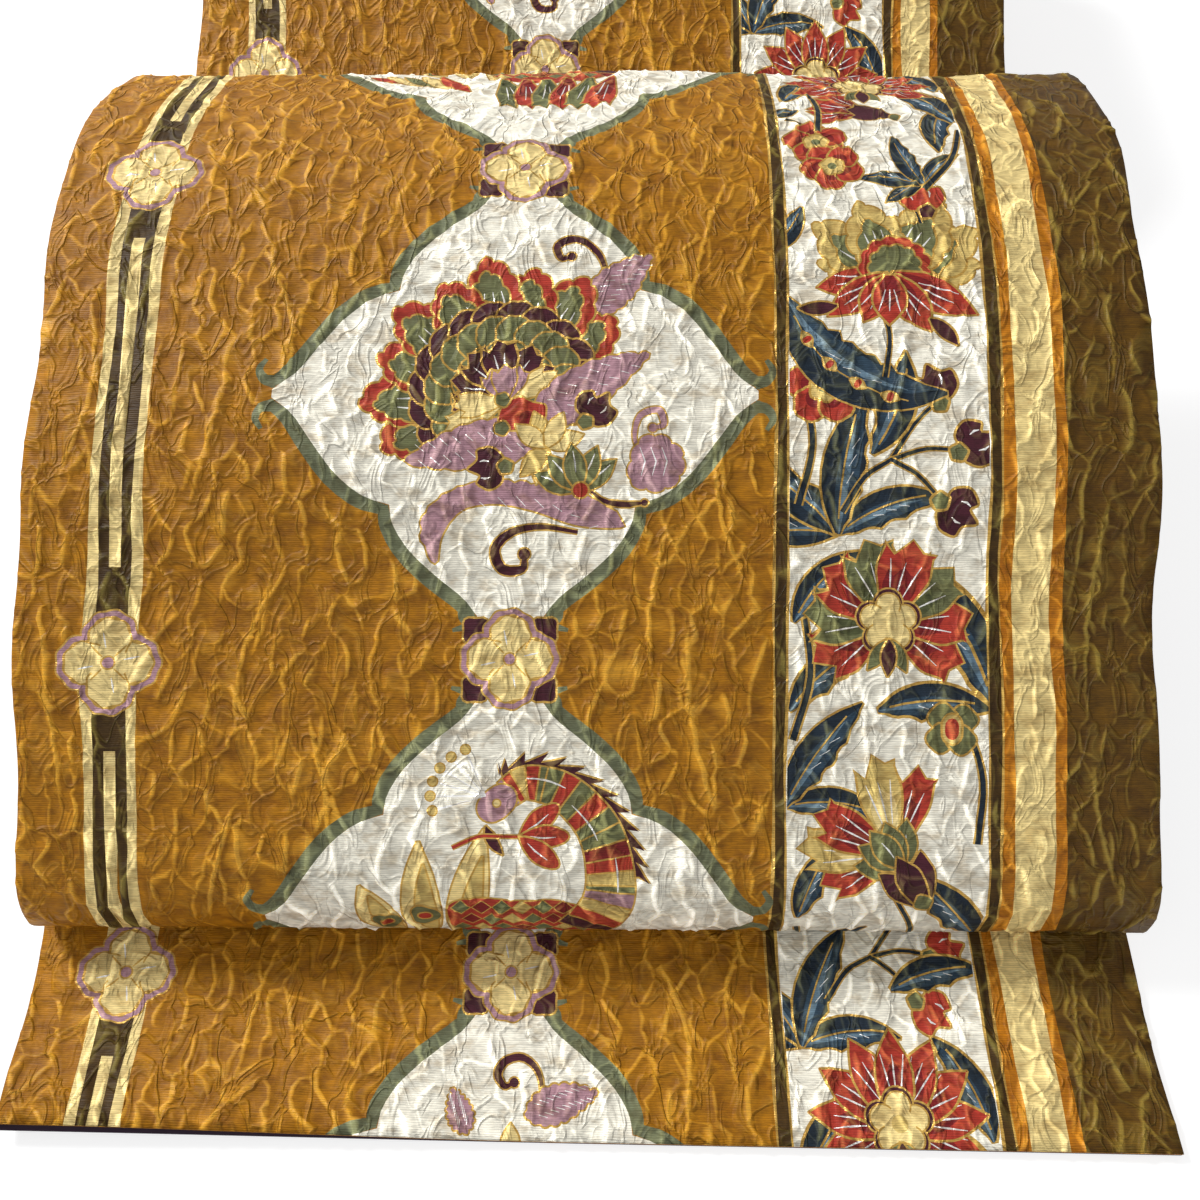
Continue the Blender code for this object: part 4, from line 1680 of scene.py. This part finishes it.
def figured_silk():
    """The face cloth: its dye, crests painted lighter as highlights with painted shade at their feet,
    ribs, crumples and metal outlines.
    """
    material = bpy.data.materials.get("figured silk crepe")
    if material:
        return material
    material = bpy.data.materials.new("figured silk crepe")
    material.use_nodes = True
    t = Tree(material.node_tree)
    shader = material.node_tree.nodes["Principled BSDF"]
    cloth = t.node("UVMap", {"uv_map": "cloth"}).outputs[0]
    dye = t.node("Attribute", {"attribute_name": "dye"}).outputs["Color"]
    gilt = t.node("Attribute", {"attribute_name": "gilt"}).outputs["Fac"]
    crest = t.node("Attribute", {"attribute_name": "crest"}).outputs["Fac"]
    weave = use_group(t, rib_weave(), Cloth=cloth, Pitch=0.6)
    crumple = use_group(t, fine_crumple(), Cloth=cloth, Size=7.5)
    cloud = use_group(t, satin_cloud(), Cloth=cloth, Depth=CLOUD_DEPTH)
    # The dye's uneven tone, times the weave's painted shade between its ribs
    shade = t.math("MULTIPLY", cloud.outputs["Shade"], weave.outputs["Shade"])
    # Painted highlight: the colour is lightened along the crests of the relief and, less, along the fine
    # crumples' ridges
    light = t.math("MAXIMUM", t.remap(crest, 0.2, 0.7, 0.0, 1.0),
                   t.math("MULTIPLY", crumple.outputs["Ridge"], 0.3))
    # Painted shade: the colour is darkened on the flanks just beside each crest
    foot = t.math("MULTIPLY", t.remap(crest, 0.01, 0.1, 0.0, 1.0), t.remap(crest, 0.15, 0.34, 1.0, 0.0))
    shade = t.math("MULTIPLY", shade, t.remap(foot, 0.0, 1.0, 1.0, FOOT_SHADE))
    shade = t.math("MULTIPLY", shade, t.remap(light, 0.0, 1.0, 1.0, CREST_LIGHT))
    tinted = t.node("Mix", {"data_type": "RGBA", "blend_type": "MULTIPLY"})
    t.set(tinted, "0", 1.0)
    burnt = t.node("Mix", {"data_type": "RGBA", "blend_type": "MULTIPLY"})
    t.set(burnt, "0", t.remap(cloud.outputs["Shade"], 1.0, 0.82, 0.0, 1.0))
    t.set(burnt, "6", dye)
    t.set(burnt, "7", BURNT)
    t.set(tinted, "6", burnt.outputs[2])
    grey = t.node("CombineColor", Red=shade, Green=shade, Blue=shade)
    t.set(tinted, "7", grey.outputs[0])
    # Painted sheen: a warm highlight screened over the colour along the crests
    painted_crest_sheen = t.node("Mix", {"data_type": "RGBA", "blend_type": "SCREEN"})
    t.set(painted_crest_sheen, "0", t.math("MULTIPLY", light, 0.75))
    t.set(painted_crest_sheen, "6", tinted.outputs[2])
    t.set(painted_crest_sheen, "7", CREST_SHEEN)
    t.set(shader, "Base Color", painted_crest_sheen.outputs[2])
    rough = t.remap(light, 0.0, 1.0, 0.6, 0.5)
    t.set(shader, "Roughness", t.math("SUBTRACT", rough, t.math("MULTIPLY", gilt, 0.15)))
    t.set(shader, "Metallic", t.math("MULTIPLY", gilt, 0.45))
    shader.inputs["Specular IOR Level"].default_value = 0.22
    height = t.math("ADD", t.math("MULTIPLY", weave.outputs["Height"], WEAVE_RELIEF),
                    t.math("MULTIPLY", crumple.outputs["Height"], CRUMPLE_RELIEF))
    height = t.math("ADD", height, t.math("MULTIPLY", gilt, GILT_RELIEF))
    bump = t.node("Bump", Strength=0.9, Distance=MM, Height=height)
    t.set(shader, "Normal", bump.outputs[0])
    return material


def lining_silk():
    """The lining: a plain dark satin."""
    material = bpy.data.materials.get("dark satin lining")
    if material:
        return material
    material = bpy.data.materials.new("dark satin lining")
    material.use_nodes = True
    t = Tree(material.node_tree)
    shader = material.node_tree.nodes["Principled BSDF"]
    shader.inputs["Specular IOR Level"].default_value = 0.3
    cloth = t.node("UVMap", {"uv_map": "cloth"}).outputs[0]
    weave = use_group(t, rib_weave(), Cloth=cloth, Pitch=0.34)
    cloud = use_group(t, satin_cloud(), Cloth=cloth, Depth=0.22)
    # The dye's uneven tone, times the weave's painted shade between its ribs
    shade = t.math("MULTIPLY", cloud.outputs["Shade"], weave.outputs["Shade"])
    tinted = t.node("Mix", {"data_type": "RGBA", "blend_type": "MULTIPLY"})
    t.set(tinted, "0", 1.0)
    t.set(tinted, "6", (*dye_colour("lining"), 1.0))
    t.set(tinted, "7", t.node("CombineColor", Red=shade, Green=shade, Blue=shade).outputs[0])
    t.set(shader, "Base Color", tinted.outputs[2])
    t.set(shader, "Roughness", t.remap(weave.outputs["Height"], -0.5, 1.2, 0.5, 0.38))
    height = t.math("MULTIPLY", weave.outputs["Height"], 0.04)
    t.set(shader, "Normal", t.node("Bump", Strength=0.7, Distance=MM, Height=height).outputs[0])
    return material


# ---------------------------------------------------------------- operators

MADE = {}


def face_options(seed_shift):
    """What the three shown stretches of the face and lining share, made once."""
    if "crimp" not in MADE:
        sizes = bpy.context.scene.obi_sizes
        MADE["crimp"] = Crimp(UPPER_END, sizes.crimp_seed)
        MADE["shapes"] = draw_cloth(UPPER_END)
    sizes = bpy.context.scene.obi_sizes
    return {
        "spacing": sizes.face_spacing, "back_spacing": sizes.back_spacing,
        "crimp": MADE["crimp"], "shapes": MADE["shapes"], "press": pressed,
        "swell": lambda u, v: swell(u, v) * stretch_swell(v),
        "rise": None, "seed": 11 + seed_shift,
    }


def stretch_swell(v):
    """The cloth lies flat on the table where it rests on it, and swells on the drum."""
    off_tare = ease((v - TARE_END - 30) / 24)
    on_table = ease(np.abs(v - (DRUM_END + 32)) / 34 - 0.9)
    on_rest = 1 - 0.8 * ease((v - (UPPER_END - 160)) / 20)
    return off_tare * on_table * on_rest


def stretch(name, v0, v1, rise, seed_shift, rests_on):
    options = face_options(seed_shift)
    options["rise"] = rise
    options["pull"] = tare_pull if rise else None
    face = cloth_shell(name + "_figured_face", WAY, v0, v1, 0.0003, FACE - 0.0001, True, options)
    plain = dict(options)
    plain["spacing"] = options["back_spacing"] * PLAIN_SHARE
    lining = cloth_shell(name + "_satin_lining", WAY, v0, v1, FACE + SEAM, CLOTH, False, plain)
    for piece, node, slot, material in (
            (face, name + "_face", "figured_crepe", figured_silk()),
            (lining, name + "_lining", "dark_lining", lining_silk())):
        piece.data.materials.append(material)
        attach(piece, "root")
        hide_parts(node)


class OBI_OT_tare(bpy.types.Operator):
    """Make the end of the sash that lies in front"""
    bl_idname = "obi.tare"
    bl_label = "Tare"

    def execute(self, context):
        stretch("tare", 0.0, TARE_END - 0.15, tare_rise, 0, ["floor"])
        return {"FINISHED"}


class OBI_OT_drum(bpy.types.Operator):
    """Make the puffed drum"""
    bl_idname = "obi.drum"
    bl_label = "Drum"

    def execute(self, context):
        stretch("drum", TARE_END + 0.15, DRUM_END - 0.15, None, 20, ["tare_figured_face"])
        return {"FINISHED"}


class OBI_OT_upper(bpy.types.Operator):
    """Make the upper panel that climbs behind the drum"""
    bl_idname = "obi.upper"
    bl_label = "Upper panel"

    def execute(self, context):
        stretch("upper", DRUM_END + 0.15, UPPER_END, None, 40, ["floor"])
        return {"FINISHED"}


def rest_way():
    """The way of the folded rest, from its top layer's back end down to its last one."""
    height = PANEL_TOP - CLOTH - SEAM
    pitch = height / REST_LAYERS
    inner = 0.0004
    rear_radius = pitch - inner
    dice = random.Random(5)
    way = Way(PANEL_REAR - 0.020, height - CLOTH, 180.0)
    for layer in range(REST_LAYERS):
        if layer % 2 == 0:
            front = REST_FRONT + CLOTH + 0.0008 + dice.uniform(0.0, 0.004)
            way.ahead(way.points[-1][0] - front, 0.03)
            if layer < REST_LAYERS - 1:
                way.bend(inner, 180.0, 30.0)
                way.heading = 0.0
        else:
            rear = PANEL_REAR - CLOTH - SEAM - REST_SETBACK - rear_radius - dice.uniform(0.0, 0.003)
            if layer < 3:
                rear -= 0.010
            way.ahead(rear - way.points[-1][0], 0.03)
            way.bend(rear_radius, -180.0, 18.0)
            way.heading = 180.0
    return way.close()


class OBI_OT_rest(bpy.types.Operator):
    """Make the rest of the sash, folded to and fro"""
    bl_idname = "obi.rest"
    bl_label = "Folded rest"

    def execute(self, context):
        make_rest()
        return {"FINISHED"}


# Where the folded rest has rows of points, in mm across. The face's lie close over the medallions.
FACE_COLUMNS = range(66, 204, 4)
LINING_COLUMNS = range(45, 205, 16)
BAND_COLUMNS = (222.0, 236.0, 250.0, 297.0)

# What crosses the folds of the rest, in mm. columns: distance along from a middle, half width
MEDALLION_REACH = ((0, 66), (31, 34), (62, 10), (73, 8))
MEDALLION_RIM = 4
JOINING_BLOCK = (62, 12)
PETAL_BLOCK = (28, 34)
LEAF_BLOCK = (22, 22)
GAP_BLOCK = 12


def rest_ribbon(name, way, outside, inside, seed, columns):
    """A closed wall of folded cloth with a row of points at each bend of its way."""
    edges = sorted({0.0, WIDTH} | {stripe[0] for stripe in STRIPES} | {stripe[1] for stripe in STRIPES}
                   | {float(k) for k in columns} | set(BAND_COLUMNS))
    across = np.array([u for u in edges if u <= WIDTH])
    rows = way.v
    mesh = bmesh.new()
    layer = mesh.loops.layers.uv.new("cloth")
    sheets = []
    for depth in (outside, inside):
        grid = np.array([(u, v) for v in rows for u in across])
        s, h, ns, nh = way.at(grid[:, 1])
        s = s - ns * depth
        h = h - nh * depth
        u = grid[:, 0]
        x = (u - WIDTH / 2) * MM
        lean = 0.6 * np.sin(h / 0.0021) + 0.5 * np.sin(h / 0.0075 + seed)
        x = x * (1 - 0.0015 * (1 + np.sin(h / 0.0034))) + lean * MM * 0.8
        h = h * (1 - 0.012 * (1 + np.sin(u / 40 + s * 30)))
        places = table_place(x, s, h)
        sheets.append([[mesh.verts.new(places[r * len(across) + c]) for c in range(len(across))]
                       for r in range(len(rows))])
    top, under = sheets
    last, cols = len(rows) - 1, len(across) - 1
    stations = {}
    for r in range(len(rows)):
        for c in range(cols + 1):
            stations[top[r][c]] = stations[under[r][c]] = (across[c] * MM, rows[r] * MM)
    for r in range(last):
        for c in range(cols):
            mesh.faces.new((top[r][c], top[r][c + 1], top[r + 1][c + 1], top[r + 1][c]))
            mesh.faces.new((under[r][c], under[r + 1][c], under[r + 1][c + 1], under[r][c + 1]))
        mesh.faces.new((top[r][0], top[r + 1][0], under[r + 1][0], under[r][0]))
        mesh.faces.new((top[r][cols], under[r][cols], under[r + 1][cols], top[r + 1][cols]))
    for r, order in ((0, 1), (last, -1)):
        for c in range(cols):
            face = (top[r][c], under[r][c], under[r][c + 1], top[r][c + 1])
            mesh.faces.new(face[::order])
    for face in mesh.faces:
        for corner in face.loops:
            corner[layer].uv = stations[corner.vert]
    bmesh.ops.triangulate(mesh, faces=mesh.faces)
    data = bpy.data.meshes.new(name)
    mesh.to_mesh(data)
    mesh.free()
    data.shade_smooth()
    piece = bpy.data.objects.new(name, data)
    bpy.context.scene.collection.objects.link(piece)
    return piece


def tint_rest(piece):
    """Dye the folded rest by its stripes and by the white of the medallions."""
    data = piece.data
    count = len(data.polygons)
    corners = np.zeros(len(data.loops) * 2)
    data.uv_layers["cloth"].data.foreach_get("uv", corners)
    middles = corners.reshape(count, 3, 2).mean(axis=1) / MM
    tints = np.tile(dye_colour("ground"), (count, 1))
    gilt = np.zeros(count)
    for u0, u1, dye, metal in STRIPES:
        chosen = (middles[:, 0] > u0) & (middles[:, 0] < u1)
        tints[chosen] = dye_colour(dye)
        gilt[chosen] = float(metal)
    along, half = zip(*MEDALLION_REACH)
    phase = (middles[:, 1] + UPPER_END - FLOWER_START) % FLOWER_STEP - FLOWER_STEP / 2
    reach = np.interp(np.abs(phase), along, half)
    off = np.abs(middles[:, 0] - MEDALLION_MIDDLE)
    tints[off < reach + MEDALLION_RIM] = dye_colour("sage")
    tints[off < reach] = dye_colour("white")
    tints[(off < JOINING_BLOCK[1]) & (np.abs(phase) > JOINING_BLOCK[0])] = dye_colour("cream")
    petals = (off < PETAL_BLOCK[1]) & (np.abs(phase) < PETAL_BLOCK[0]) & (off > GAP_BLOCK)
    tints[petals] = dye_colour("madder")
    tints[(off < LEAF_BLOCK[1]) & (np.abs(phase) < LEAF_BLOCK[0])] = dye_colour("moss")
    write_corners(data, "dye", tints)
    write_faces(data, "gilt", gilt)
    layer = data.attributes.new("crest", "FLOAT", "POINT")
    layer.data.foreach_set("value", np.zeros(len(data.vertices), np.float32))


def make_rest():
    """The folded rest as two ribbons, the figured face and the satin lining."""
    way = rest_way()
    face = rest_ribbon("rest_figured_face", way, SKIN, FACE, 1, FACE_COLUMNS)
    lining = rest_ribbon("rest_satin_lining", way, FACE + SEAM, CLOTH - SKIN, 1, LINING_COLUMNS)
    tint_rest(face)
    for piece, slot, material in ((face, "figured_crepe", figured_silk()),
                                  (lining, "dark_lining", lining_silk())):
        piece.data.materials.append(material)
        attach(piece, "root")
        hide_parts("folded_rest")


class OBI_OT_stage(bpy.types.Operator):
    """Set up the floor, the lights and the camera"""
    bl_idname = "obi.stage"
    bl_label = "Stage"

    def execute(self, context):
        make_stage()
        return {"FINISHED"}


CAMERA_ELEVATION = 58.0
CAMERA_SPOT = (0.002, -0.046, 0.344)


FLOOR_SIZE = 4.0
FLOOR_GLOW = 0.68
STUDIO_LIGHT = 0.40


def make_stage():
    """The floor, two soft lights, the even studio light and the camera."""
    mesh = bmesh.new()
    bmesh.ops.create_grid(mesh, x_segments=1, y_segments=1, size=FLOOR_SIZE)
    bmesh.ops.translate(mesh, verts=mesh.verts, vec=(0, 0, -0.0002))
    data = bpy.data.meshes.new("floor")
    mesh.to_mesh(data)
    mesh.free()
    floor = bpy.data.objects.new("floor", data)
    bpy.context.scene.collection.objects.link(floor)
    paper = bpy.data.materials.new("pale floor")
    paper.use_nodes = True
    shader = paper.node_tree.nodes["Principled BSDF"]
    shader.inputs["Base Color"].default_value = (0.5, 0.5, 0.5, 1.0)
    shader.inputs["Emission Color"].default_value = (1.0, 1.0, 1.0, 1.0)
    shader.inputs["Emission Strength"].default_value = FLOOR_GLOW
    shader.inputs["Roughness"].default_value = 0.9
    data.materials.append(paper)
    # columns: name, place, aim, width, power
    for name, place, aim, width, power in (
            ("key", (-1.25, 0.75, 1.15), (0.0, 0.0, 0.05), 0.5, 37.0),
            ("fill", (0.5, -1.2, 1.4), (0.0, 0.0, 0.0), 1.4, 6.0)):
        light = bpy.data.lights.new(name, "AREA")
        light.energy = power
        light.size = width
        lamp = bpy.data.objects.new(name, light)
        bpy.context.scene.collection.objects.link(lamp)
        lamp.location = place
        lamp.rotation_euler = (Vector(aim) - Vector(place)).to_track_quat("-Z", "Y").to_euler()
    world = bpy.data.worlds.new("studio")
    world.use_nodes = True
    world.node_tree.nodes["Background"].inputs["Color"].default_value = (1.0, 1.0, 1.0, 1.0)
    world.node_tree.nodes["Background"].inputs["Strength"].default_value = STUDIO_LIGHT
    bpy.context.scene.world = world
    bpy.context.scene.view_settings.view_transform = "Standard"
    lens = bpy.data.cameras.new("camera")
    lens.lens = 36.0
    lens.sensor_width = 36.0
    lens.clip_start = 0.01
    camera = bpy.data.objects.new("camera", lens)
    bpy.context.scene.collection.objects.link(camera)
    x, s, h = CAMERA_SPOT
    front = -SLANT * WIDTH * MM / 2
    camera.location = (x, s - (front + PANEL_REAR) / 2, h)
    camera.rotation_euler = (math.radians(90.0 - CAMERA_ELEVATION), 0.0, 0.0)
    bpy.context.scene.camera = camera


class OBI_PT_panel(bpy.types.Panel):
    """Lists the steps that build the sash"""
    bl_idname = "OBI_PT_panel"
    bl_label = "Obi"
    bl_space_type = "VIEW_3D"
    bl_region_type = "UI"
    bl_category = "Obi"

    def draw(self, context):
        for operator in OPERATORS:
            self.layout.operator(operator.bl_idname)
        for name in ("face_spacing", "back_spacing", "crimp_seed"):
            self.layout.prop(context.scene.obi_sizes, name)
        for name in ObiDyes.__annotations__:
            self.layout.prop(context.scene.obi_dyes, name)


OPERATORS = (OBI_OT_stage, OBI_OT_tare, OBI_OT_drum, OBI_OT_upper, OBI_OT_rest)
CLASSES = (ObiDyes, ObiSizes, *OPERATORS, OBI_PT_panel)


def register():
    for item in CLASSES:
        bpy.utils.register_class(item)
    bpy.types.Scene.obi_dyes = PointerProperty(type=ObiDyes)
    bpy.types.Scene.obi_sizes = PointerProperty(type=ObiSizes)


def unregister():
    del bpy.types.Scene.obi_sizes
    del bpy.types.Scene.obi_dyes
    for item in reversed(CLASSES):
        bpy.utils.unregister_class(item)


def main():
    register()
    bpy.ops.obi.stage()
    bpy.ops.obi.tare()
    bpy.ops.obi.drum()
    bpy.ops.obi.upper()
    bpy.ops.obi.rest()


if __name__ == "__main__":
    main()
